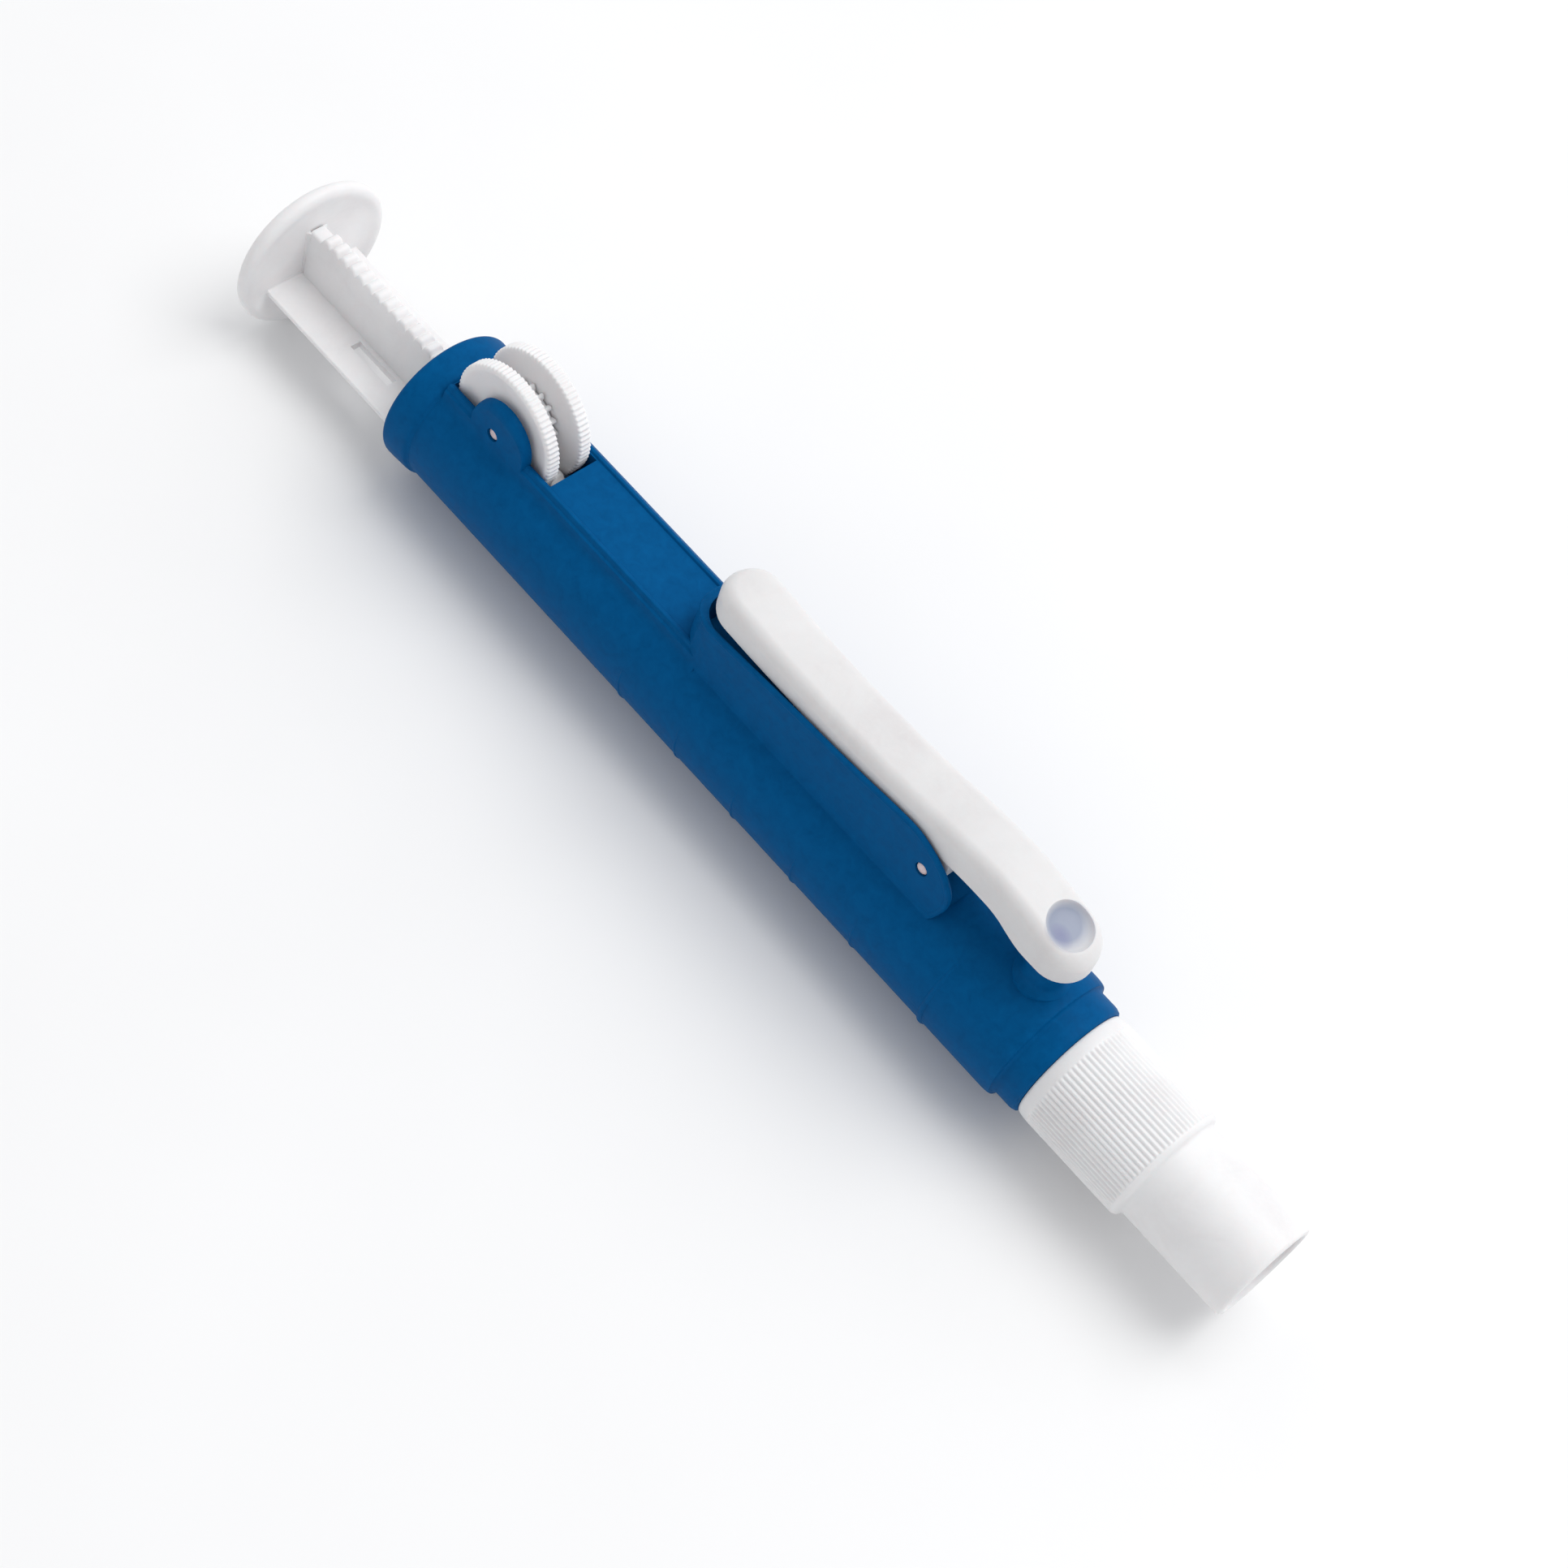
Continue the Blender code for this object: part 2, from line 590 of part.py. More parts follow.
# Nose -----------------------------------------------------------------------------------
def nose():
    """The soft chuck that grips the pipette, its washer and the screw cap."""
    flange_start = CAP_SEAT + CLEARANCE
    flange_end = 0.0182
    chuck = [(0.0026, 0.0052), (0.0031, 0.0056), (flange_start, 0.0056),
             (flange_start, 0.0066), (flange_end, 0.0066), (flange_end, 0.0026),
             (0.0140, 0.0025), (0.0034, 0.0043), (0.0026, 0.0046)]
    turned("chuck_seal", chuck, CLEAR_SILICONE, steps=36)
    washer_start = flange_end + CLEARANCE
    washer_end = SPIGOT_END - CLEARANCE
    washer = [(washer_start, 0.0066), (washer_end, 0.0066), (washer_end, 0.0044),
              (washer_start, 0.0044)]
    turned("chuck_washer", washer, WHITE_PLASTIC, steps=32)
    step = [(CAP_STEP - 0.0002, CAP_SKIRT_R), (CAP_STEP, CAP_SKIRT_R + 0.0002),
            (CAP_STEP + 0.0003, CAP_RIB_R - 0.0003), (CAP_STEP + 0.0009, CAP_RIB_R)]
    cap = [(0.0, CAP_SKIRT_R - 0.0004), (0.0004, CAP_SKIRT_R), *step,
           (CAP_TOP, CAP_RIB_R), (CAP_TOP, CAP_THREAD_R), (CAP_SEAT, CAP_THREAD_R),
           (CAP_SEAT, CAP_MOUTH_R), (0.0003, CAP_MOUTH_R), (0.0, CAP_MOUTH_R + 0.0001)]
    turned("nose_cap", cap, WHITE_PLASTIC)


def joint_frames():
    """An empty on each joint's axis, with its moving pieces parented to it."""
    frames = {
        "plunger_frame": ((at(AXLE), 0, AXIS_Z), ("plunger_rod", "piston_head", "piston_seal")),
        "wheel_frame": ((at(AXLE), 0, AXIS_Z + AXLE_HEIGHT),
                        ("wheel_pinion", "wheel_flange_near", "wheel_flange_far")),
        "lever_frame": ((at(PIVOT), 0, AXIS_Z + PIVOT_HEIGHT), ("release_lever", "valve_pad")),
        "chuck_frame": ((at(SPIGOT_END), 0, AXIS_Z), ("chuck_seal", "chuck_washer")),
        "cap_frame": ((at(CAP_TOP), 0, AXIS_Z), ("nose_cap",)),
    }
    for name, (spot, pieces) in frames.items():
        frame = bpy.data.objects.new(name, None)
        frame.location = spot
        frame.empty_display_size = 0.01
        PARTS.objects.link(frame)
        bpy.context.view_layer.update()
        for piece in pieces:
            child = bpy.data.objects[piece]
            world = child.matrix_world.copy()
            child.parent = frame
            child.matrix_parent_inverse = frame.matrix_world.inverted()
            child.matrix_world = world


barrel()
end_collar()
pump_cylinder()
piston()
plunger()
thumbwheel()
lever()
nose()
joint_frames()
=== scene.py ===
"""Looks of the pipette pump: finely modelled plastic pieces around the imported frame.

Units are metres. A "station" is a distance back from the mouth along the tool's centre
line, and heights are measured from the centre line, as in the CAD.
"""
import math

import bmesh
import bpy
from mathutils import Matrix, Vector


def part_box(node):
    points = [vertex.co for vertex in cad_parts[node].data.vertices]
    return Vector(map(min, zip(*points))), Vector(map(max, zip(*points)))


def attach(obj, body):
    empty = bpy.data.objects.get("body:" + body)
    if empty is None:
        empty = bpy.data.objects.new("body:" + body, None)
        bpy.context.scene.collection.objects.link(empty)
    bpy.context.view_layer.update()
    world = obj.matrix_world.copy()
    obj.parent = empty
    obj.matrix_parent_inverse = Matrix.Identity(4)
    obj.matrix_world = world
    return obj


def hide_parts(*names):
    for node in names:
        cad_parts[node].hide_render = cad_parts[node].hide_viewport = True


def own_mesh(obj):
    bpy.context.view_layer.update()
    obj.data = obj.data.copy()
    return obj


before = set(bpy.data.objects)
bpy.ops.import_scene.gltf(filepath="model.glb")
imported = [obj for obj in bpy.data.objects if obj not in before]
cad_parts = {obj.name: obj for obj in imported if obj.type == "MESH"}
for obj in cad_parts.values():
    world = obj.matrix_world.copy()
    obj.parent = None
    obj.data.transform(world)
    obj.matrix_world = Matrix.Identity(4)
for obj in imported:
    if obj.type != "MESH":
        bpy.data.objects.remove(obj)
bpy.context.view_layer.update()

# Driving dimensions, from the frame ---------------------------------------------------
MOUTH_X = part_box("nose_cap")[1].x
AXIS_Z = (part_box("plunger_rod")[0].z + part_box("plunger_rod")[1].z) / 2


def station_of(x):
    """The station of a frame X."""
    return MOUTH_X - x


def centre_of(node):
    """Station and height of a node's middle."""
    low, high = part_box(node)
    return station_of((low.x + high.x) / 2), (low.z + high.z) / 2 - AXIS_Z


LENGTH = station_of(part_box("plunger_rod")[0].x)
DISC_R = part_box("plunger_rod")[1].y
SPIGOT_END, BARREL_TOP = station_of(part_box("barrel")[1].x), station_of(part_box("barrel")[0].x)
COLLAR_START = station_of(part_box("end_collar")[1].x)
COLLAR_TOP = station_of(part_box("end_collar")[0].x)
COLLAR_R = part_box("end_collar")[1].y
CAP_TOP = station_of(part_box("nose_cap")[0].x)
CAP_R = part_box("nose_cap")[1].y
AXLE, AXLE_HEIGHT = centre_of("wheel_axle")
PIVOT, PIVOT_HEIGHT = centre_of("lever_pin")
PIN_R = (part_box("wheel_axle")[1].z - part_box("wheel_axle")[0].z) / 2
WHEEL_R = (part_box("wheel_flange_near")[1].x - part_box("wheel_flange_near")[0].x) / 2
FLANGE_OUT, FLANGE_IN = -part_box("wheel_flange_near")[0].y, -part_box("wheel_flange_near")[1].y
LEVER_END = station_of(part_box("release_lever")[0].x)
LEVER_START = station_of(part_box("release_lever")[1].x)
LEVER_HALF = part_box("release_lever")[1].y
VALVE = centre_of("valve_pad")[0]
SPRING = centre_of("lever_spring")[0]

# Sizes that the boxes don't say, as in the CAD ----------------------------------------
BARREL_R = 0.0090
BORE_R = 0.00785
NECK_R = 0.0082
NECK_TOP = 0.0351
SPIGOT_R = 0.00675
SPIGOT_BORE_R = 0.0044
CYLINDER_SEAT_R = 0.00585
CYLINDER_START = 0.0413
CYLINDER_TOP = 0.0860
CYLINDER_R = 0.00555
CYLINDER_BORE_R = 0.0041
CAP_SKIRT_R = 0.00694
CAP_STEP = 0.0156
CAP_SEAT = 0.0164
CAP_MOUTH_R = 0.0059
CLEARANCE = 0.0003
EDGE_HALF = 0.0050             # ears and pod
RIDGE_TOP = 0.0093
SLOT_HALF = 0.0036
SLOT_START, SLOT_END = 0.1211, 0.1391
EAR_LEAN = 0.0008              # the ears stand this far towards the mouth of the axle
POD_START, POD_END = 0.0516, 0.0968
POD_FLOOR = 0.0097
POD_LIP = 0.0006               # how far the lip at the pod's far end stands out
POD_WALL = 0.0008
GRIP_STATIONS = (0.0997, 0.0895, 0.0794, 0.0689, 0.0585)
GRIP_RING = 0.0466
MODULE = 0.000525
TEETH = 16
PITCH = math.pi * MODULE
PITCH_R = MODULE * TEETH / 2
ADDENDUM, DEDENDUM = 0.0004, 0.00055
PINION_HALF = 0.0013
HUB_R = 0.0023
RIB_START = 0.1125             # where the plunger's rack begins
PLATE_HALF = 0.0070
PLATE_FRONT, PLATE_BACK = -0.0025, -0.0036
WINDOW_START, WINDOW_END = 0.1500, 0.15725
WINDOW_IN, WINDOW_OUT = 0.0021, 0.0036
PISTON_START, PISTON_TOP, PISTON_R = 0.0682, 0.0722, 0.00385
SEAT_TOP = 0.0132
THREAD_PITCH = 0.0030
FINE = 192                     # sides of the large turned pieces
KNURLS = 75                    # ridges round a thumbwheel flange
CAP_RIBS = 72
PIN_FIT = 0.0001               # how much wider a pin's hole is than the pin, in radius


def at(station):
    """X of a station."""
    return MOUTH_X - station


# Mesh helpers -------------------------------------------------------------------------
ALONG = Matrix(((0, 0, -1, MOUTH_X), (0, 1, 0, 0), (1, 0, 0, AXIS_Z), (0, 0, 0, 1)))


def across(station, height):
    """Places a turned piece about a cross axis: its own Z is the tool's Y."""
    return Matrix(((1, 0, 0, at(station)), (0, 0, 1, 0), (0, -1, 0, AXIS_Z + height), (0, 0, 0, 1)))


def upright(station, height=0.0, tilt=0.0):
    """Places a turned piece about an upright axis, tilted towards the mouth on request."""
    place = Matrix.Translation((at(station), 0, AXIS_Z + height))
    return place @ Matrix.Rotation(tilt, 4, "Y")


def finish_mesh(name, work, sharp=35.0):
    """A smooth-shaded object from a bmesh, with its faces pointing out."""
    bmesh.ops.recalc_face_normals(work, faces=work.faces)
    mesh = bpy.data.meshes.new(name)
    work.to_mesh(mesh)
    work.free()
    mesh.shade_smooth()
    mesh.set_sharp_from_angle(angle=math.radians(sharp))
    thing = bpy.data.objects.new(name, mesh)
    bpy.context.scene.collection.objects.link(thing)
    return thing


def zip_shut(work, row, pivot):
    """Closes a narrow mirrored ring with faces from side to side, out from its tip."""
    count = len(row)
    for k in range(count // 2):
        near, near_next = row[(pivot - k) % count], row[(pivot - k - 1) % count]
        far, far_next = row[(pivot + k) % count], row[(pivot + k + 1) % count]
        corners = list(dict.fromkeys((near, near_next, far_next, far)))
        work.faces.new(corners)


def skin(name, rings, looped=False, sharp=35.0, pivot=None):
    """Quads between rings of points. The ends are capped unless the rings form a loop: flat,
    or zipped from side to side where pivot says which point of a ring is its tip."""
    work = bmesh.new()
    rows = [[work.verts.new(point) for point in ring] for ring in rings]
    pairs = list(zip(rows, rows[1:]))
    if looped:
        pairs.append((rows[-1], rows[0]))
    for one, two in pairs:
        for i in range(len(one)):
            j = (i + 1) % len(one)
            work.faces.new((one[i], one[j], two[j], two[i]))
    if not looped:
        for row in (rows[0], rows[-1]):
            if pivot is None:
                work.faces.new(row)
            else:
                zip_shut(work, row, pivot)
    return finish_mesh(name, work, sharp)


def lathe(name, profile, place=ALONG, steps=FINE, looped=False, ripple=None, sharp=35.0):
    """Spins (along, radius) points about an axis. ripple(along, radius, turn) is cut off."""
    rings = []
    for along, radius in profile:
        ring = []
        for step in range(steps):
            turn = 2 * math.pi * step / steps
            r = radius - (ripple(along, radius, turn) if ripple else 0.0)
            ring.append(place @ Vector((r * math.cos(turn), r * math.sin(turn), along)))
        rings.append(ring)
    return skin(name, rings, looped, sharp)


def prism(name, points, low, high, plane, soften=0.0):
    """An outline made solid. plane "side" takes (station, height) outlines and Y limits,
    "plan" takes (station, y) and height limits, "section" (y, height) and stations."""
    spots = {"side": lambda u, v, w: (at(u), w, AXIS_Z + v),
             "plan": lambda u, v, w: (at(u), v, AXIS_Z + w),
             "section": lambda u, v, w: (at(w), u, AXIS_Z + v)}
    rings = [[Vector(spots[plane](u, v, w)) for u, v in points] for w in (low, high)]
    thing = skin(name, rings)
    if soften:
        edge = thing.modifiers.new("edge", "BEVEL")
        edge.width = soften
        edge.segments = 3
        edge.limit_method = "ANGLE"
        edge.angle_limit = math.radians(50)
    return thing


def tube(name, path, radius, sides=16):
    """A round bar along points. radius is a number or a function of the share of the way."""
    rings = []
    normal = None
    for number, point in enumerate(path):
        ahead = path[min(number + 1, len(path) - 1)] - path[max(number - 1, 0)]
        ahead.normalize()
        if normal is None:
            normal = ahead.orthogonal().normalized()
        normal = (normal - ahead * normal.dot(ahead)).normalized()
        side = ahead.cross(normal)
        size = radius(number / (len(path) - 1)) if callable(radius) else radius
        turns = [2 * math.pi * i / sides for i in range(sides)]
        rings.append([point + size * (normal * math.cos(t) + side * math.sin(t)) for t in turns])
    return skin(name, rings)


def arc(centre_u, centre_v, radius, start, end, steps):
    """Points on an arc between two angles in degrees."""
    turns = [math.radians(start + (end - start) * i / steps) for i in range(steps + 1)]
    return [(centre_u + radius * math.cos(turn), centre_v + radius * math.sin(turn))
            for turn in turns]


def round_ended(start, end, half, steps=32):
    """A plan outline with a round far end and a square near end."""
    return arc(end - half, 0, half, -90, 90, steps) + [(start, half), (start, -half)]


def pin_bore(name, station, height, half=0.0070):
    """The cutter for the hole of a cross pin."""
    return lathe(name, [(-half, PIN_R + PIN_FIT), (half, PIN_R + PIN_FIT)],
                 across(station, height), 32)


def curve_through(points, u):
    """The smooth curve of height over station through (station, height) points."""
    for (u0, v0), (u1, v1) in zip(points, points[1:]):
        if u <= u1 or (u1, v1) == points[-1]:
            break
    index = points.index((u0, v0))
    before = points[max(index - 1, 0)]
    after = points[min(index + 2, len(points) - 1)]
    slope0 = (v1 - before[1]) / (u1 - before[0])
    slope1 = (after[1] - v0) / (after[0] - u0)
    span = u1 - u0
    t = min(max((u - u0) / span, 0.0), 1.0)
    return ((2 * t**3 - 3 * t**2 + 1) * v0 + (t**3 - 2 * t**2 + t) * span * slope0
            + (3 * t**2 - 2 * t**3) * v1 + (t**3 - t**2) * span * slope1)


def smooth_path(points, per_span):
    """A Catmull-Rom curve through points of the plane."""
    found = []
    for i in range(len(points) - 1):
        p0, p1 = points[max(i - 1, 0)], points[i]
        p2, p3 = points[i + 1], points[min(i + 2, len(points) - 1)]
        for step in range(per_span):
            t = step / per_span
            found.append(tuple(
                0.5 * (2 * b + (c - a) * t + (2 * a - 5 * b + 4 * c - d) * t * t
                       + (3 * b - a - 3 * c + d) * t**3)
                for a, b, c, d in zip(p0, p1, p2, p3)))
    return found + [points[-1]]


def combine(target, tool, operation):
    """Adds an exact Boolean step. The tools are removed by settle()."""
    step = target.modifiers.new(tool.name, "BOOLEAN")
    step.operation = operation
    step.object = tool
    step.solver = "EXACT"
    tool.hide_render = True


def join(target, *tools):
    """Adds the tools to a piece."""
    for tool in tools:
        combine(target, tool, "UNION")


def cut(target, *tools):
    """Takes the tools away from a piece."""
    for tool in tools:
        combine(target, tool, "DIFFERENCE")


def settle(target, sharp=32.0):
    """Applies the modifiers, removes the tools and shades the result evenly."""
    tools = [m.object for m in target.modifiers if m.type == "BOOLEAN"]
    bpy.context.view_layer.update()
    graph = bpy.context.evaluated_depsgraph_get()
    mesh = bpy.data.meshes.new_from_object(target.evaluated_get(graph))
    target.modifiers.clear()
    target.data = mesh
    mesh.name = target.name
    for tool in tools:
        bpy.data.objects.remove(tool, do_unlink=True)
    work = bmesh.new()
    work.from_mesh(mesh)
    bmesh.ops.remove_doubles(work, verts=work.verts, dist=0.0000005)
    bmesh.ops.dissolve_degenerate(work, edges=work.edges, dist=0.0000005)
    work.to_mesh(mesh)
    work.free()
    mesh.shade_smooth()
    mesh.set_sharp_from_angle(angle=math.radians(sharp))
    weigh = target.modifiers.new("even_normals", "WEIGHTED_NORMAL")
    weigh.keep_sharp = True
    weigh.weight = 100
    return target


# Materials ----------------------------------------------------------------------------
class Surface:
    """A Principled material being put together from nodes in object space."""

    def __init__(self, name):
        self.material = bpy.data.materials.new(name)
        self.material.use_nodes = True
        self.tree = self.material.node_tree
        self.shader = self.tree.nodes["Principled BSDF"]
        self.coords = self.node("ShaderNodeTexCoord").outputs["Object"]

    def node(self, kind, **settings):
        """A new node with its settings made."""
        made = self.tree.nodes.new(kind)
        for key, value in settings.items():
            setattr(made, key, value)
        return made

    def link(self, one, two):
        """Joins an output to an input."""
        self.tree.links.new(one, two)

    def noise(self, scale, detail=4.0, roughness=0.55, distortion=0.0, stretch=None):
        """Noise over the piece, in features of about 1/scale metres."""
        made = self.node("ShaderNodeTexNoise")
        made.inputs["Scale"].default_value = scale
        made.inputs["Detail"].default_value = detail
        made.inputs["Roughness"].default_value = roughness
        made.inputs["Distortion"].default_value = distortion
        source = self.coords
        if stretch:
            mapping = self.node("ShaderNodeMapping")
            mapping.inputs["Scale"].default_value = stretch
            self.link(self.coords, mapping.inputs["Vector"])
            source = mapping.outputs["Vector"]
        self.link(source, made.inputs["Vector"])
        return made.outputs["Fac"]

    def ramp(self, factor, stops):
        """A colour ramp of (place, colour) stops."""
        made = self.node("ShaderNodeValToRGB")
        elements = made.color_ramp.elements
        while len(elements) < len(stops):
            elements.new(0.5)
        for element, (place, colour) in zip(elements, stops):
            element.position = place
            element.color = (*colour, 1.0)
        self.link(factor, made.inputs["Fac"])
        return made.outputs["Color"]

    def mix(self, factor, one, two):
        """Mixes two colours. factor is a number or a socket, and two may be a colour."""
        made = self.node("ShaderNodeMix", data_type="RGBA")
        for value, place in ((factor, 0), (one, 6), (two, 7)):
            if isinstance(value, bpy.types.NodeSocket):
                self.link(value, made.inputs[place])
            elif place == 0:
                made.inputs[place].default_value = value
            else:
                made.inputs[place].default_value = (*value, 1.0)
        return made.outputs[2]

    def spread(self, factor, low, high, start=0.3, end=0.7):
        """A factor stretched to a range of values."""
        made = self.node("ShaderNodeMapRange")
        made.inputs["From Min"].default_value = start
        made.inputs["From Max"].default_value = end
        made.inputs["To Min"].default_value = low
        made.inputs["To Max"].default_value = high
        self.link(factor, made.inputs["Value"])
        return made.outputs["Result"]

    def bump(self, height, distance, strength=1.0, over=None):
        """A bump, laid over another bump's normal on request."""
        made = self.node("ShaderNodeBump")
        made.inputs["Distance"].default_value = distance
        made.inputs["Strength"].default_value = strength
        self.link(height, made.inputs["Height"])
        if over:
            self.link(over, made.inputs["Normal"])
        return made.outputs["Normal"]

    def near(self, centre, size):
        """1 at a point, falling to 0 at an ellipsoid of that size about it."""
        mapping = self.node("ShaderNodeMapping", vector_type="POINT")
        mapping.inputs["Scale"].default_value = [1 / s for s in size]
        mapping.inputs["Location"].default_value = [-c / s for c, s in zip(centre, size)]
        self.link(self.coords, mapping.inputs["Vector"])
        distance = self.node("ShaderNodeVectorMath", operation="LENGTH")
        self.link(mapping.outputs["Vector"], distance.inputs[0])
        return self.spread(distance.outputs["Value"], 1.0, 0.0, 0.0, 1.0)


def scuffs(surface, scale, amount):
    """Fine handling scratches, which only touch the gloss."""
    fine = surface.noise(scale, 2.0, 0.6, 0.4, (1.0, 9.0, 9.0))
    return surface.spread(fine, 0.0, amount, 0.56, 0.75)


def finish_surface(surface, colour, roughness, normal):
    """Plugs the last colour, roughness and normal into the shader."""
    surface.link(colour, surface.shader.inputs["Base Color"])
    surface.link(roughness, surface.shader.inputs["Roughness"])
    surface.link(normal, surface.shader.inputs["Normal"])
    return surface.material


def moulded(name, tones, gloss, blotch, grain, grain_depth, translucent=0.0, tint=None):
    """Injection-moulded plastic: cloudy colour, sparkle-eroded grain and slight sinks.

    tones are three colours from shaded to pale, and gloss the roughness low and high.
    """
    surface = Surface(name)
    cloud = surface.noise(blotch, 5.0, 0.6, 0.6)
    speck = surface.noise(grain, 3.0, 0.7)
    colour = surface.ramp(cloud, [(0.30, tones[0]), (0.50, tones[1]), (0.72, tones[2])])
    colour = surface.mix(surface.spread(speck, 0.0, 0.35, 0.45, 0.75), colour, tones[2])
    if tint:
        colour = tint(surface, colour)
    rough = surface.node("ShaderNodeMath", operation="ADD")
    surface.link(surface.spread(cloud, gloss[0], gloss[1]), rough.inputs[0])
    surface.link(scuffs(surface, 420.0, 0.16), rough.inputs[1])
    sinks = surface.bump(surface.noise(95.0, 2.0), 0.00010, 0.35)
    fine = surface.bump(speck, grain_depth, 0.6, sinks)
    surface.shader.inputs["IOR"].default_value = 1.49
    if translucent:
        surface.shader.inputs["Subsurface Weight"].default_value = translucent
        surface.shader.inputs["Subsurface Radius"].default_value = (1.0, 0.72, 0.66)
        surface.shader.inputs["Subsurface Scale"].default_value = 0.0012
    return finish_surface(surface, colour, rough.outputs[0], fine)


def dimple_tint(surface, colour):
    """The thin floor of the lever's dimple lets the blue beneath show through; a darker purple-blue
    spot sits towards its near side (-Y).
    """
    floor = (at(VALVE), 0, AXIS_Z + 0.0198)
    bluish = surface.near(floor, (0.0034, 0.0034, 0.0017))
    colour = surface.mix(surface.spread(bluish, 0.0, 0.9, 0.02, 0.30), colour,
                         (0.27, 0.31, 0.42))
    # A darker purple-blue spot on the dimple floor, set off towards the near side (-Y).
    deep = surface.near((floor[0] + 0.0003, -0.0012, floor[2]), (0.0021, 0.0017, 0.0016))
    return surface.mix(surface.spread(deep, 0.0, 0.8, 0.05, 0.7), colour, (0.17, 0.18, 0.36))


BLUE = moulded("blue_polypropylene",
               [(0.0003, 0.075, 0.226), (0.0005, 0.085, 0.252), (0.0008, 0.096, 0.279)],
               (0.40, 0.52), 700.0, 2200.0, 0.000020)
BLUE.node_tree.nodes["Principled BSDF"].inputs["Specular IOR Level"].default_value = 0.03
WHITE = moulded("white_polypropylene",
                [(0.80, 0.785, 0.79), (0.84, 0.832, 0.836), (0.87, 0.866, 0.87)],
                (0.36, 0.52), 120.0, 1800.0, 0.000012, 0.25)
LEVER_WHITE = moulded("natural_polypropylene",
                      [(0.69, 0.672, 0.676), (0.735, 0.727, 0.728), (0.765, 0.762, 0.766)],
                      (0.34, 0.50), 110.0, 1700.0, 0.000012, 0.35, dimple_tint)
PIN = moulded("pin_plastic", [(0.62, 0.46, 0.47), (0.75, 0.60, 0.61), (0.82, 0.72, 0.72)],
              (0.40, 0.55), 400.0, 2400.0, 0.00002, 0.2)


def rubber(name, tones, gloss, depth):
    """Rubber or silicone: matt, with a fine even tooth and dusty pale patches."""
    surface = Surface(name)
    dust = surface.noise(260.0, 5.0, 0.6)
    tooth = surface.noise(3200.0, 2.0, 0.6)
    colour = surface.ramp(dust, [(0.35, tones[0]), (0.70, tones[1])])
    rough = surface.spread(dust, gloss[0], gloss[1])
    return finish_surface(surface, colour, rough, surface.bump(tooth, depth, 0.7))


def steel(name):
    """Drawn spring wire: fine lines along the wire and slight oil staining."""
    surface = Surface(name)
    surface.shader.inputs["Metallic"].default_value = 1.0
    stain = surface.noise(900.0, 4.0)
    lines = surface.noise(6000.0, 2.0, 0.5, 0.0, (1.0, 1.0, 0.15))
    colour = surface.ramp(stain, [(0.3, (0.42, 0.42, 0.43)), (0.7, (0.62, 0.62, 0.63))])
    rough = surface.spread(stain, 0.22, 0.42)
    return finish_surface(surface, colour, rough, surface.bump(lines, 0.000006, 0.5))


SILICONE = rubber("silicone", [(0.58, 0.60, 0.62), (0.74, 0.75, 0.77)], (0.42, 0.62), 0.00001)
SILICONE.node_tree.nodes["Principled BSDF"].inputs["Subsurface Weight"].default_value = 0.3
SILICONE.node_tree.nodes["Principled BSDF"].inputs["Subsurface Scale"].default_value = 0.001
BLACK = rubber("black_rubber", [(0.012, 0.012, 0.013), (0.035, 0.035, 0.037)],
               (0.55, 0.78), 0.000015)
STEEL = steel("spring_steel")


def dress(thing, material, body, nodes):
    """Gives a piece its material in a material slot and its body, and hides the CAD nodes it stands
    in for.
    """
    thing.data.materials.clear()
    thing.data.materials.append(material)
    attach(thing, body)
    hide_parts(*nodes)
    return thing


# Barrel -------------------------------------------------------------------------------
POD_CREST = [(0.0554, 0.0165), (0.0572, 0.0172), (0.0590, 0.0176), (0.0620, 0.0175),
             (0.0700, 0.0167), (0.0790, 0.0161), (0.0880, 0.0154), (0.0943, 0.0149),
             (0.0963, 0.0144), (POD_END, 0.0142)]
POD_NOSE = [(0.0532, 0.0070), (0.0525, 0.0078), (0.0519, 0.0094), (0.0515, 0.0110),
            (0.0516, 0.0127), (0.0522, 0.0139), (0.0535, 0.0153), POD_CREST[0]]


def barrel_tube():
    """The turned outside: threaded spigot, neck, rounded shoulder and plain tube."""
    thread_depth = 0.00055
    shoulder, cove, seam = 0.0015, 0.00055, 0.00005

    def thread(along, radius, turn):
        if not SPIGOT_END + 0.0004 < along < CAP_TOP - 0.0002:
            return 0.0
        phase = (along / THREAD_PITCH + turn / (2 * math.pi)) % 1.0
        crest = max(0.0, 1.0 - abs(phase - 0.5) / 0.25)
        return thread_depth * (1.0 - min(1.0, crest * 1.8))

    profile = [(SPIGOT_END, SPIGOT_R - 0.0009), (SPIGOT_END + 0.0003, SPIGOT_R - 0.0006)]
    rows = 56
    run = CAP_TOP - SPIGOT_END - 0.0006
    profile += [(SPIGOT_END + 0.0006 + run * i / rows, SPIGOT_R) for i in range(rows + 1)]
    profile += [(CAP_TOP + seam, SPIGOT_R), (CAP_TOP + seam, CAP_R - 0.0002),
                (CAP_TOP + 0.0003, CAP_R + 0.00012), (CAP_TOP + 0.0008, NECK_R - 0.00002),
                (CAP_TOP + 0.0012, NECK_R)]
    profile += arc(NECK_TOP - cove, NECK_R + cove, cove, -90, 0, 6)
    for i in range(1, 13):
        turn = math.pi / 2 * i / 12
        profile.append((NECK_TOP + shoulder * (1 - math.cos(turn)),
                        NECK_R + cove + (BARREL_R - NECK_R - cove) * math.sin(turn)))
    profile += [(0.060, BARREL_R), (0.090, BARREL_R), (0.120, BARREL_R),
                (COLLAR_START - 0.0001, BARREL_R), (COLLAR_START - 0.0001, 0.0084),
                (BARREL_TOP, 0.0084)]
    return lathe("barrel_shell", profile, ripple=thread)


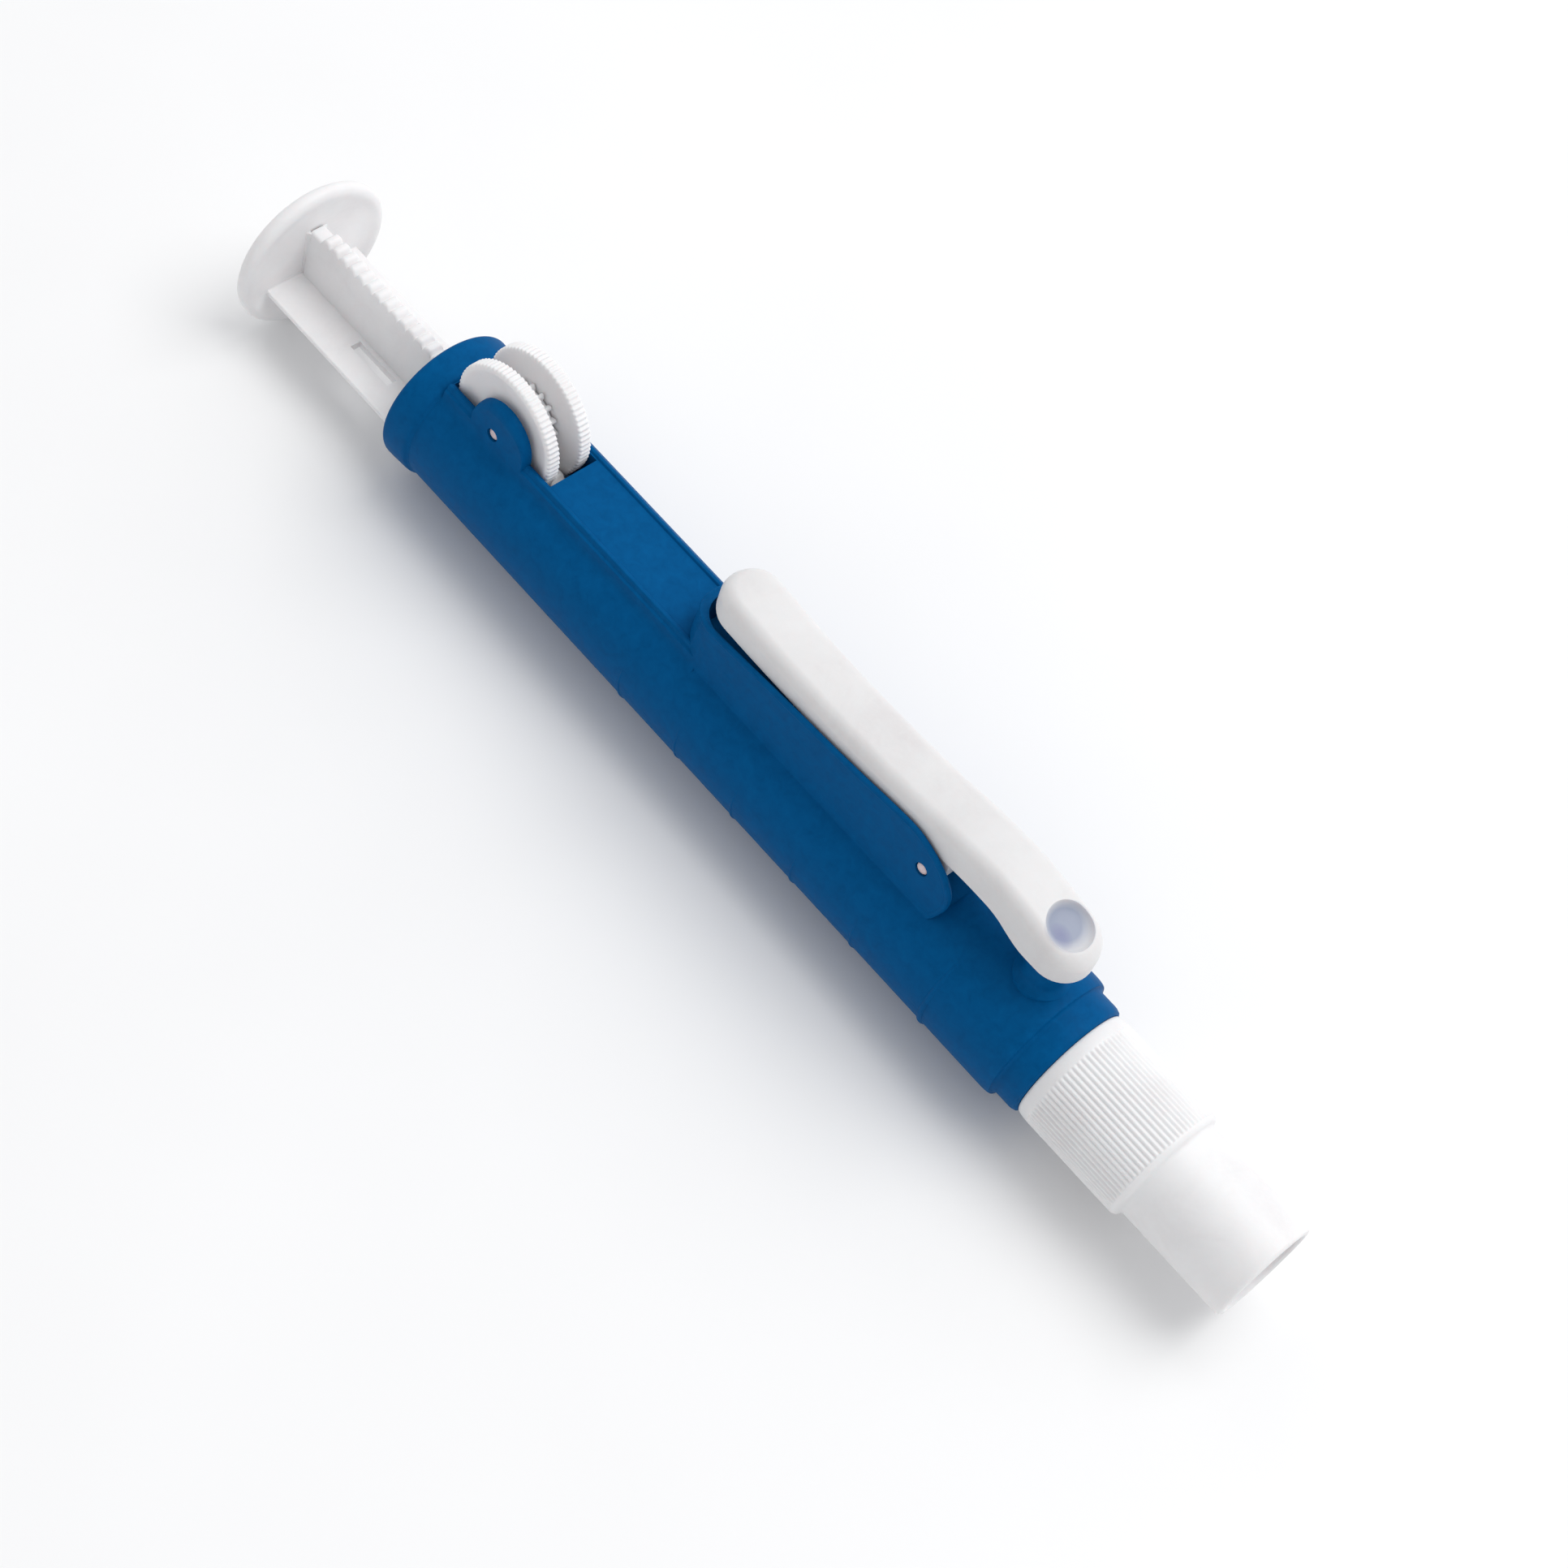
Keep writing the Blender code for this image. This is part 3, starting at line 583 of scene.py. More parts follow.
def barrel_hollow():
    """The stepped bore that runs through the barrel."""
    past = 0.0010
    web, chamber, ledge, main = 0.0340, 0.0360, CYLINDER_START - CLEARANCE, 0.0480
    profile = [(SPIGOT_END - past, SPIGOT_BORE_R), (web, SPIGOT_BORE_R), (web, 0.0015),
               (chamber, 0.0015), (chamber, 0.0030), (ledge, 0.0030),
               (ledge, CYLINDER_SEAT_R), (main, CYLINDER_SEAT_R), (main, BORE_R),
               (BARREL_TOP + past, BORE_R)]
    return lathe("hollow", profile, steps=128)


def ridge():
    """The drafted front ridge with a rail on each edge and a fillet at its foot."""
    foot = 0.0057
    foot_height = math.sqrt(BARREL_R**2 - foot**2)
    half = [(foot, 0.0064), (foot, foot_height - 0.00002)]
    start, knee, end = (foot, foot_height), (0.00522, 0.00738), (0.00504, 0.00800)
    for i in range(1, 7):
        t = i / 6
        half.append(tuple((1 - t)**2 * a + 2 * t * (1 - t) * b + t * t * c
                          for a, b, c in zip(start, knee, end)))
    half += [(0.00493, 0.00878), (0.00484, 0.00888), (0.00464, 0.00898), (0.00454, 0.00916),
             (0.00446, 0.00944), (0.00432, 0.00957), (0.00412, 0.00960), (0.00394, 0.00956),
             (0.00384, 0.00944), (0.00376, RIDGE_TOP)]
    section = half + [(-y, height) for y, height in reversed(half)]
    return prism("ridge", section, POD_END - 0.0040, COLLAR_START - 0.0001, "section")


def ear(name, side):
    """An arched ear round an end of the wheel axle. Its outer edge rounds off, most at the top."""
    middle, foot = AXLE - EAR_LEAN, 0.0070
    rings = []
    for y, half, rise in ((SLOT_HALF, 0.00480, 0.00480), (0.00400, 0.00480, 0.00478),
                          (0.00430, 0.00477, 0.00466), (0.00458, 0.00472, 0.00440),
                          (0.00480, 0.00467, 0.00405), (0.00494, 0.00462, 0.00370),
                          (EDGE_HALF, 0.00452, 0.00345)):
        turns = [math.pi * i / 40 for i in range(41)]
        outline = [(middle + half * math.cos(turn), AXLE_HEIGHT + rise * math.sin(turn))
                   for turn in turns]
        outline += [(middle - half, foot), (middle + half, foot)]
        rings.append([Vector((at(u), side * y, AXIS_Z + v)) for u, v in outline])
    return skin(name, rings)


POD_DRAFT = [(0.0062, 0.00540), (0.0080, 0.00510), (0.0200, 0.00458)]


def pod_half(height):
    """Half width of the drafted pod at a height."""
    (low, wide), (high, narrow) = POD_DRAFT[1:]
    return wide + (narrow - wide) * (height - low) / (high - low)


def pod():
    """The lever pod: drafted walls up to the crest line, with a thick lip at the far end."""
    crest = smooth_path(POD_NOSE, 6)[:-1] + smooth_path(POD_CREST, 6)
    past = POD_END + 0.002
    side = crest + [(past, POD_CREST[-1][1]), (past, 0.0060), (0.0540, 0.0060)]
    rings = []
    for height, half in POD_DRAFT:
        outline = round_ended(POD_START - 0.001, POD_END + POD_LIP + half - EDGE_HALF, half, 40)
        rings.append([Vector((at(u), y, AXIS_Z + height)) for u, y in outline])
    walls = skin("pod", rings)
    combine(walls, prism("pod_side", side, -0.0080, 0.0080, "side"), "INTERSECT")
    return walls


def pod_bead():
    """A bead along the pod's edge: one wall, round the far end and back along the other."""
    bead_r, inset, sink = 0.00044, 0.00032, 0.00036
    crest = smooth_path(POD_NOSE, 6)[:-1] + smooth_path(POD_CREST[:-2], 6)
    middle = POD_END + POD_LIP - EDGE_HALF
    near = []
    for number, (u, v) in enumerate(crest):
        (ua, va), (ub, vb) = crest[max(number - 1, 0)], crest[min(number + 1, len(crest) - 1)]
        run = math.hypot(ub - ua, vb - va)
        u, v = u + (vb - va) / run * inset, v - (ub - ua) / run * inset
        if u < middle:
            near.append(Vector((at(u), sink - pod_half(v), AXIS_Z + v)))
    turn_round = []
    for i in range(33):
        turn = math.radians(-90 + 180 * i / 32)
        height = curve_through(POD_CREST, min(middle + EDGE_HALF * math.cos(turn), POD_END)) - inset
        lane = pod_half(height) - sink
        turn_round.append(Vector((at(middle + lane * math.cos(turn)), lane * math.sin(turn),
                                  AXIS_Z + height)))
    far = [Vector((p.x, -p.y, p.z)) for p in reversed(near)]
    return tube("pod_bead", near + turn_round + far, bead_r, 18)


def grip_bead(number, station, reach, size):
    """A low bead round the back of the barrel that fades out at its ends."""
    path = []
    for i in range(61):
        turn = math.radians(180 - reach + 2 * reach * i / 60)
        r = BARREL_R - size / 2
        path.append(Vector((at(station), r * math.sin(turn), AXIS_Z + r * math.cos(turn))))
    return tube("grip_bead_%d" % number, path,
                lambda t: size * (0.3 + 0.7 * math.sin(math.pi * t)**0.5), 14)


def barrel():
    """The blue barrel with everything that is moulded on it."""
    body = barrel_tube()
    join(body, ridge(), pod(), pod_bead())
    for side, name in ((-1, "near"), (1, "far")):
        join(body, ear("ear_" + name, side))
    for number, station in enumerate(GRIP_STATIONS):
        join(body, grip_bead(number, station, 112, 0.00040))
    join(body, grip_bead(9, GRIP_RING, 158, 0.00060))
    seat = [(0.0070, 0.0034), (0.0090, 0.0034), (0.0093, 0.0030), (0.0097, 0.00275),
            (0.0102, 0.0026), (SEAT_TOP - 0.0002, 0.0026), (SEAT_TOP, 0.0024)]
    join(body, lathe("valve_seat", seat, upright(VALVE), 64))
    pocket = round_ended(0.0500, POD_END - POD_WALL, EDGE_HALF - POD_WALL)
    slot_outline = [(SLOT_START, -SLOT_HALF), (SLOT_END, -SLOT_HALF), (SLOT_END, SLOT_HALF),
                    (SLOT_START, SLOT_HALF)]
    cut(body, barrel_hollow(), prism("pocket", pocket, POD_FLOOR, 0.0220, "plan"),
        prism("wheel_slot", slot_outline, 0.0040, 0.0160, "plan"),
        pin_bore("axle_hole", AXLE, AXLE_HEIGHT), pin_bore("pivot_hole", PIVOT, PIVOT_HEIGHT),
        lathe("air_way", [(0.0010, 0.0008), (0.0150, 0.0008)], upright(VALVE), 24))
    dress(settle(body), BLUE, "barrel", ["barrel"])


def collar():
    """The proud ring at the open end: thin step below, full round edge above."""
    top = COLLAR_TOP
    start = COLLAR_START - 0.00009
    profile = [(start, 0.00868), (start, 0.00901), (start + 0.00016, 0.00906),
               (start + 0.00034, 0.00920), (start + 0.0005, 0.00936), (start + 0.0007, 0.00944),
               (start + 0.0010, 0.00948), (start + 0.0018, 0.00952), (start + 0.0030, 0.00960)]
    centre_r, edge = COLLAR_R - 0.0007, 0.0007
    for i in range(10):
        turn = math.radians(90 - 90 * i / 9)
        profile.append((top - edge + edge * math.cos(turn), centre_r + edge * math.sin(turn)))
    profile += [(top, BORE_R + 0.0004), (top - 0.0001, BORE_R + 0.0002),
                (top - 0.0003, BORE_R + 0.0001), (BARREL_TOP + CLEARANCE, BORE_R + 0.0001),
                (BARREL_TOP + CLEARANCE, 0.00868)]
    dress(lathe("collar_ring", profile, looped=True), BLUE, "barrel", ["end_collar"])


# Plunger ------------------------------------------------------------------------------
def rack_height(station):
    """Height of the rack's front edge: rounded crests with narrow grooves between them."""
    root = AXLE_HEIGHT - PITCH_R - DEDENDUM + 0.00012
    crest = AXLE_HEIGHT - PITCH_R + ADDENDUM
    phase = ((station - AXLE) / PITCH) % 1.0
    away = min(phase, 1.0 - phase) / 0.5
    return root + (crest - root) * (1.0 - away**2.8)


def rack_rib():
    """The drafted centre rib, lofted tooth by tooth."""
    base_half, top_half, corner = 0.00150, 0.00112, 0.00046
    per_tooth = 14
    start, end = RIB_START, LENGTH - 0.0018
    count = int((end - start) / PITCH * per_tooth)
    first_tooth = AXLE + math.ceil((start + PITCH - AXLE) / PITCH) * PITCH - PITCH / 2
    last_tooth = AXLE + math.floor((end - AXLE - 0.0008) / PITCH) * PITCH - PITCH / 2
    rings = []
    for i in range(count + 1):
        station = start + (end - start) * i / count
        inside = first_tooth <= station <= last_tooth
        top = rack_height(station) if inside else AXLE_HEIGHT - PITCH_R - DEDENDUM
        half = [(base_half, PLATE_FRONT - 0.0004), (base_half, PLATE_FRONT)]
        half.append((top_half, top - corner))
        half += [(top_half - corner + corner * math.cos(t), top - corner + corner * math.sin(t))
                 for t in [math.radians(a) for a in (22, 45, 68, 90)]]
        section = half + [(-y, height) for y, height in reversed(half)]
        rings.append([Vector((at(station), y, AXIS_Z + height)) for y, height in section])
    return skin("rack", rings, sharp=50)


def plunger():
    """One moulding: dished thumb disc, blade with windows, rack and slim rod."""
    under = LENGTH - 0.0020
    disc = [(under + 0.00045, 0.0010), (under + 0.00042, 0.0050), (under + 0.00025, 0.0085),
            (under + 0.00010, 0.0092), (under, 0.0098), (under + 0.00003, 0.0101),
            (under + 0.0002, 0.01055), (under + 0.00045, 0.01080), (under + 0.0008, DISC_R),
            (under + 0.0012, DISC_R), (under + 0.0016, 0.01078), (LENGTH - 0.0001, 0.01045),
            (LENGTH, 0.0100), (LENGTH, 0.0010)]
    body = lathe("plunger_moulding", disc)
    bevel = 0.0005
    section = [(-PLATE_HALF, PLATE_FRONT - 0.0001), (-PLATE_HALF + 0.0001, PLATE_FRONT),
               (PLATE_HALF - 0.0001, PLATE_FRONT), (PLATE_HALF, PLATE_FRONT - 0.0001),
               (PLATE_HALF, PLATE_BACK + bevel), (PLATE_HALF - bevel, PLATE_BACK),
               (bevel - PLATE_HALF, PLATE_BACK), (-PLATE_HALF, PLATE_BACK + bevel)]
    rod = [(PISTON_START + 0.0013, 0.0015), (PISTON_TOP + CLEARANCE, 0.0015),
           (PISTON_TOP + CLEARANCE, 0.0023), (RIB_START + 0.0030, 0.0023)]
    join(body, prism("blade", section, RIB_START, LENGTH - 0.0014, "section"),
         rack_rib(), lathe("rod", rod, steps=48))
    fillet, rib_half, sunk = 0.0004, 0.00122, 0.0003
    face = under + 0.00038
    root = [(face + sunk, PLATE_FRONT - sunk), (face - fillet, PLATE_FRONT - sunk)]
    root += arc(face - fillet, PLATE_FRONT + fillet, fillet, -90, 0, 10)
    root += [(face + sunk, PLATE_FRONT + fillet)]
    join(body, prism("blade_root", root, 0.0001 - PLATE_HALF, PLATE_HALF - 0.0001, "side"))
    for side, name in ((-1, "near"), (1, "far")):
        heel = [(face + sunk, side * (rib_half - sunk)), (face - fillet, side * (rib_half - sunk))]
        heel += [(u, side * v) for u, v in
                 arc(face - fillet, rib_half + fillet, fillet, -90, 0, 10)]
        heel += [(face + sunk, side * (rib_half + fillet))]
        join(body, prism("rib_root_" + name, heel, PLATE_FRONT - sunk, 0.0049, "plan"))
        y_in, y_out = side * WINDOW_IN, side * WINDOW_OUT
        window = [(WINDOW_START, y_in), (WINDOW_END, y_in), (WINDOW_END, y_out),
                  (WINDOW_START, y_out)]
        cut(body, prism("window_" + name, window, -0.0060, -0.0010, "plan"))
    dress(settle(body), WHITE, "plunger", ["plunger_rod"])


# Thumbwheel ---------------------------------------------------------------------------
def knurled_flange(name, side, node):
    """A finger flange: knurled rim band, rounded lip and dished outer face."""
    rim, out, inside = WHEEL_R, FLANGE_OUT, FLANGE_IN
    depth = 0.00022
    points = [(inside, 0.0025), (inside, rim - 0.0009), (inside + 0.00003, rim - 0.00040),
              (inside + 0.00009, rim - 0.00014), (inside + 0.00018, rim - 0.00002),
              (inside + 0.00030, rim), ((inside + out) / 2, rim), (out - 0.00036, rim),
              (out - 0.00020, rim - 0.00004), (out - 0.00010, rim - 0.00014),
              (out - 0.00003, rim - 0.00034), (out, rim - 0.0006), (out - 0.00005, rim - 0.0009),
              (out - 0.00022, rim - 0.0013), (out - 0.00040, rim - 0.0020),
              (out - 0.00048, rim - 0.0028), (out - 0.00044, 0.0040), (out - 0.00012, 0.0031),
              (out, 0.0028), (out, 0.0025)]

    def knurl(along, radius, turn):
        weight = min(1.0, max(0.0, (radius - (rim - 0.00045)) / 0.0003))
        return depth * weight * (0.5 - 0.5 * math.cos(KNURLS * turn))

    profile = [(side * y, radius) for y, radius in points]
    made = lathe(name, profile, across(AXLE, AXLE_HEIGHT), KNURLS * 10, True, knurl, 50)
    dress(made, WHITE, "thumbwheel", [node])


def pinion():
    """Involute teeth with softened edges, on the hub that carries the flanges."""
    pressure = math.radians(20)
    base_r = PITCH_R * math.cos(pressure)
    tip_r, root_r = PITCH_R + ADDENDUM, PITCH_R - DEDENDUM
    half_at_pitch = (PITCH / 4 - 0.00007) / PITCH_R

    def involute(radius):
        turn = math.acos(min(1.0, base_r / radius))
        return math.tan(turn) - turn

    flank = []
    for radius in (root_r, root_r + 0.0001, base_r, PITCH_R - 0.0001, PITCH_R,
                   PITCH_R + 0.0002, tip_r - 0.00008, tip_r):
        half = half_at_pitch + involute(PITCH_R) - involute(max(radius, base_r))
        if radius == root_r:
            half += 0.012
        if radius == tip_r:
            half -= 0.012
        flank.append((radius, half))
    outline = []
    for tooth in range(TEETH):
        middle = -math.pi / 2 + (tooth + 0.5) * 2 * math.pi / TEETH
        sides = [(r, -half) for r, half in flank] + [(r, half) for r, half in reversed(flank)]
        outline += [(AXLE + r * math.cos(middle + turn), AXLE_HEIGHT + r * math.sin(middle + turn))
                    for r, turn in sides]
    gear = prism("pinion_gear", outline, -PINION_HALF, PINION_HALF, "side", 0.00006)
    hub = FLANGE_OUT - 0.0001
    edge = 0.0001
    join(gear, lathe("hub", [(-hub, HUB_R - edge), (-hub + edge, HUB_R), (hub - edge, HUB_R),
                             (hub, HUB_R - edge)], across(AXLE, AXLE_HEIGHT), 64))
    cut(gear, pin_bore("hub_bore", AXLE, AXLE_HEIGHT, 0.006))
    dress(settle(gear, 40), WHITE, "thumbwheel", ["wheel_pinion"])


def pin(name, station, height, node):
    """A cross pin with slightly domed, broken-edged ends."""
    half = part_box(node)[1].y
    end = [(half, PIN_R * 0.25), (half - 0.00002, PIN_R * 0.6),
           (half - 0.00008, PIN_R * 0.88), (half - 0.00020, PIN_R)]
    profile = end + [(-along, radius) for along, radius in reversed(end)]
    dress(lathe(name, profile, across(station, height), 48, sharp=60), PIN, "barrel", [node])


# Lever --------------------------------------------------------------------------------
LEVER_TOP = [(LEVER_START, 0.0187), (0.0370, 0.0193), (0.0390, 0.0198), (0.0420, 0.0205),
             (0.0450, 0.0210), (0.0478, 0.02132), (0.0510, 0.02132), (0.0560, 0.0209),
             (0.0610, 0.0203), (0.0670, 0.0199), (0.0744, 0.0197), (0.0826, 0.0199),
             (0.0870, 0.0203), (0.0922, 0.0208), (0.0940, 0.0208), (LEVER_END, 0.0206)]
LEVER_UNDER = [(LEVER_START, 0.0145), (0.0370, 0.0144), (0.0420, 0.0144), (0.0440, 0.0150),
               (0.0460, 0.0158), (0.0480, 0.0161), (0.0530, 0.0160), (0.0600, 0.0152),
               (0.0850, 0.0156), (0.0930, 0.0160), (LEVER_END, 0.0164)]
LEVER_ROUND_STEPS = 24         # steps round each end of the lever's plan outline


def lever_ring(inset, drop, rise):
    """A stadium inset from the lever's plan outline, sunk from its top or above its foot."""
    half = LEVER_HALF - inset
    start, end = LEVER_START + inset, LEVER_END - inset
    round_steps, straight_steps = LEVER_ROUND_STEPS, 56
    outline = arc(end - half, 0, half, -90, 90, round_steps)
    run = end - start - 2 * half
    outline += [(end - half - run * i / straight_steps, half) for i in range(1, straight_steps)]
    outline += arc(start + half, 0, half, 90, 270, round_steps)
    outline += [(start + half + run * i / straight_steps, -half)
                for i in range(1, straight_steps)]
    ring = []
    for u, y in outline:
        height = (curve_through(LEVER_TOP, u) - drop if drop is not None
                  else curve_through(LEVER_UNDER, u) + rise)
        ring.append(Vector((at(u), y, AXIS_Z + height)))
    return ring


def lever():
    """The release lever: full-round top edges, thumb dimple, eye lug and pad seat."""
    round_top, round_foot, crown = 0.0018, 0.0005, 0.00012
    rings = [lever_ring(inset, None, 0.0) for inset in (LEVER_HALF - 0.00003, 0.0024, 0.0012)]
    for i in range(7):
        turn = math.pi / 2 * i / 6
        rings.append(lever_ring(round_foot * (1 - math.sin(turn)), None,
                                round_foot * (1 - math.cos(turn))))
    rings.append(lever_ring(0.0, round_top + crown + 0.0012, None))
    for i in range(13):
        turn = math.pi / 2 * i / 12
        rings.append(lever_ring(round_top * (1 - math.cos(turn)),
                                crown + round_top * (1 - math.sin(turn)), None))
    for share in (0.25, 0.5, 0.75, 0.99):
        inset = round_top + (LEVER_HALF - round_top) * share
        rings.append(lever_ring(inset, crown * (1 - share)**2, None))
    body = skin("lever_moulding", rings, sharp=60, pivot=LEVER_ROUND_STEPS // 2)
    lug_r = 0.0022
    lug = arc(PIVOT, PIVOT_HEIGHT, lug_r, 190, 350, 24)
    lug += [(PIVOT + 0.0030, 0.0175), (PIVOT - 0.0026, 0.0175)]
    join(body, prism("eye_lug", lug, -LEVER_HALF + 0.0002, LEVER_HALF - 0.0002, "side", 0.0002))
    slope = math.atan2(curve_through(LEVER_TOP, VALVE + 0.002)
                       - curve_through(LEVER_TOP, VALVE - 0.002), 0.004)
    surface = curve_through(LEVER_TOP, VALVE)
    floor = [(-0.00095, 0.0003), (-0.00093, 0.0012), (-0.00086, 0.0019), (-0.00070, 0.00245),
             (-0.00045, 0.00280), (-0.00020, 0.00296), (0.0, 0.00308), (0.00012, 0.00330),
             (0.00020, 0.00380), (0.00120, 0.00400)]
    pad_seat = [(0.0110, 0.0026), (0.0155, 0.0026)]
    cut(body, lathe("dimple", floor, upright(VALVE, surface, slope), 96),
        lathe("pad_seat", pad_seat, upright(VALVE), 48),
        pin_bore("eye_bore", PIVOT, PIVOT_HEIGHT, 0.006))
    dress(settle(body, 40), LEVER_WHITE, "lever", ["release_lever"])
    pad_low = SEAT_TOP + 0.0001
    pad = [(pad_low, 0.0021), (pad_low + 0.0002, 0.0024), (0.0151, 0.0024), (0.0153, 0.0022)]
    dress(lathe("valve_pad_disc", pad, upright(VALVE), 64), BLACK, "lever", ["valve_pad"])


def spring():
    """The lever's return spring, with its end coils closed."""
    wire, coil_r, turns, per_turn = 0.00025, 0.0022, 4.5, 36
    low = POD_FLOOR + wire + 0.0001
    high = 0.0150 - wire
    count = int(turns * per_turn)
    path = []
    for number in range(count + 1):
        share = number / count
        rise = share - 0.35 * math.sin(2 * math.pi * share) / (2 * math.pi)
        turn = 2 * math.pi * number / per_turn
        path.append(Vector((at(SPRING) + coil_r * math.cos(turn), coil_r * math.sin(turn),
                            AXIS_Z + low + (high - low) * rise)))
    made = tube("return_spring", path, wire, 12)
    dress(made, STEEL, "barrel", ["lever_spring"])
    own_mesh(made)


# Liner, piston and seals --------------------------------------------------------------
def o_ring(name, station, centre_r, section_r, body, node):
    """An O-ring about the centre line."""
    points = [(station + section_r * math.cos(t), centre_r + section_r * math.sin(t))
              for t in [math.pi - 2 * math.pi * i / 18 for i in range(18)]]
    dress(lathe(name, points, steps=96, looped=True), BLACK, body, [node])


def inside():
    """The pump cylinder, the piston and their seals."""
    flange, flange_r = CYLINDER_TOP - 0.0014, 0.0075
    low, high, groove_r = 0.0440, 0.0456, 0.00485
    liner = [(CYLINDER_START, CYLINDER_R - 0.0001), (CYLINDER_START + 0.0001, CYLINDER_R),
             (low, CYLINDER_R), (low, groove_r), (high, groove_r), (high, CYLINDER_R),
             (flange, CYLINDER_R), (flange, flange_r), (CYLINDER_TOP - 0.0001, flange_r),
             (CYLINDER_TOP, flange_r - 0.0001), (CYLINDER_TOP, 0.0046),
             (CYLINDER_TOP - 0.0008, CYLINDER_BORE_R), (CYLINDER_START, CYLINDER_BORE_R)]
    dress(lathe("pump_liner", liner, steps=128, looped=True), WHITE, "barrel",
          ["pump_cylinder"])
    o_ring("liner_ring", (low + high) / 2, 0.00534, 0.00042, "barrel", "cylinder_seal")
    low, high, groove_r = 0.0696, 0.0708, 0.0031
    piston = [(PISTON_START, PISTON_R - 0.0003), (PISTON_START + 0.0003, PISTON_R),
              (low, PISTON_R), (low, groove_r), (high, groove_r), (high, PISTON_R),
              (PISTON_TOP - 0.0001, PISTON_R), (PISTON_TOP, PISTON_R - 0.0001),
              (PISTON_TOP, 0.0018), (PISTON_START + 0.0010, 0.0018)]
    dress(lathe("piston_crown", piston, steps=96), WHITE, "plunger", ["piston_head"])
    o_ring("piston_ring", (low + high) / 2, 0.00358, 0.00042, "plunger", "piston_seal")


# Nose ---------------------------------------------------------------------------------
def nose():
    """The ribbed screw cap, the soft chuck in its mouth and the washer behind it."""
    ribs_low, ribs_high, rib_depth = CAP_STEP + 0.0007, CAP_TOP - 0.0017, 0.00021
    band = 0.00012

    def rib(along, radius, turn):
        if radius < CAP_R - 0.0004 or not ribs_low <= along <= ribs_high:
            return 0.0
        ends = min(along - ribs_low, ribs_high - along) / 0.0005
        weight = max(0.0, min(1.0, ends))
        wave = 0.5 - 0.5 * math.cos(CAP_RIBS * turn)
        return rib_depth * math.sqrt(weight) * wave**1.5

    ribbed = [ribs_low + d for d in (0.0, 0.0001, 0.0002, 0.00035, 0.0005)]
    ribbed += [ribs_high - d for d in (0.0005, 0.00035, 0.0002, 0.0001, 0.0)]
    outer = [(0.0, CAP_SKIRT_R - 0.00038), (0.00008, CAP_SKIRT_R - 0.00020),
             (0.00022, CAP_SKIRT_R - 0.00007), (0.0004, CAP_SKIRT_R - 0.00001),
             (0.0008, CAP_SKIRT_R), (CAP_STEP - 0.0006, CAP_SKIRT_R),
             (CAP_STEP - 0.0003, CAP_SKIRT_R + 0.00004), (CAP_STEP - 0.0001, CAP_SKIRT_R + 0.0002),
             (CAP_STEP, CAP_SKIRT_R + 0.00042), (CAP_STEP + 0.00012, CAP_R - 0.00032),
             (CAP_STEP + 0.00034, CAP_R - 0.00014), (CAP_STEP + 0.0006, CAP_R - 0.00003)]
    outer += [(along, CAP_R) for along in ribbed]
    outer += [(ribs_high + 0.0001, CAP_R), (CAP_TOP - 0.0010, CAP_R - band * 0.3),
              (CAP_TOP - 0.0004, CAP_R - band), (CAP_TOP - 0.0001, CAP_R - band - 0.00008),
              (CAP_TOP, CAP_R - band - 0.0002)]
    thread_r = SPIGOT_R + CLEARANCE
    inner = [(CAP_TOP, thread_r + 0.0001), (CAP_TOP - 0.0003, thread_r), (CAP_SEAT, thread_r),
             (CAP_SEAT, CAP_MOUTH_R), (0.0004, CAP_MOUTH_R), (0.00015, CAP_MOUTH_R + 0.00008),
             (0.0, CAP_MOUTH_R + 0.0002)]
    dress(lathe("ribbed_cap", outer + inner, steps=CAP_RIBS * 8, looped=True, ripple=rib,
                sharp=50), WHITE, "cap", ["nose_cap"])
    start, end = CAP_SEAT + CLEARANCE, 0.0182
    chuck = [(0.0026, 0.0050), (0.0027, 0.0053), (0.0031, 0.0056), (start, 0.0056),
             (start, 0.0065), (start + 0.0001, 0.0066), (end - 0.0001, 0.0066), (end, 0.0065),
             (end, 0.0026), (0.0140, 0.0025), (0.0090, 0.0030), (0.0060, 0.0036),
             (0.0040, 0.0042), (0.0030, 0.0045), (0.0027, 0.0047)]
    dress(lathe("chuck_collet", chuck, steps=128, looped=True), SILICONE, "chuck",
          ["chuck_seal"])
    near, far = end + CLEARANCE, SPIGOT_END - CLEARANCE
    washer = [(near, 0.0065), (near + 0.0001, 0.0066), (far - 0.0001, 0.0066), (far, 0.0065),
              (far, 0.0045), (far - 0.0001, 0.0044), (near + 0.0001, 0.0044), (near, 0.0045)]
    dress(lathe("backing_washer", washer, steps=128, looped=True), WHITE, "chuck",
          ["chuck_washer"])


# Set ----------------------------------------------------------------------------------
def camera():
    """A long lens from above, with the tool lying corner to corner."""
    lean, raise_, roll = math.radians(15.913), math.radians(59.126), math.radians(47.045)
    tool = Vector((math.cos(lean), math.sin(lean) * math.cos(raise_),
                   -math.sin(lean) * math.sin(raise_)))
    beside = Vector((0, math.sin(raise_), math.cos(raise_)))
    right = math.cos(roll) * tool + math.sin(roll) * beside
    up = -math.sin(roll) * tool + math.cos(roll) * beside
    lens = bpy.data.cameras.new("camera")
    lens.lens = 69.61
    lens.sensor_width = 36
    lens.clip_start = 0.01
    eye = bpy.data.objects.new("camera", lens)
    turn = Matrix((right, up, right.cross(up))).transposed().to_4x4()
    eye.matrix_world = Matrix.Translation((0.104501, -0.175932, 0.301269)) @ turn
    bpy.context.scene.collection.objects.link(eye)
    bpy.context.scene.camera = eye


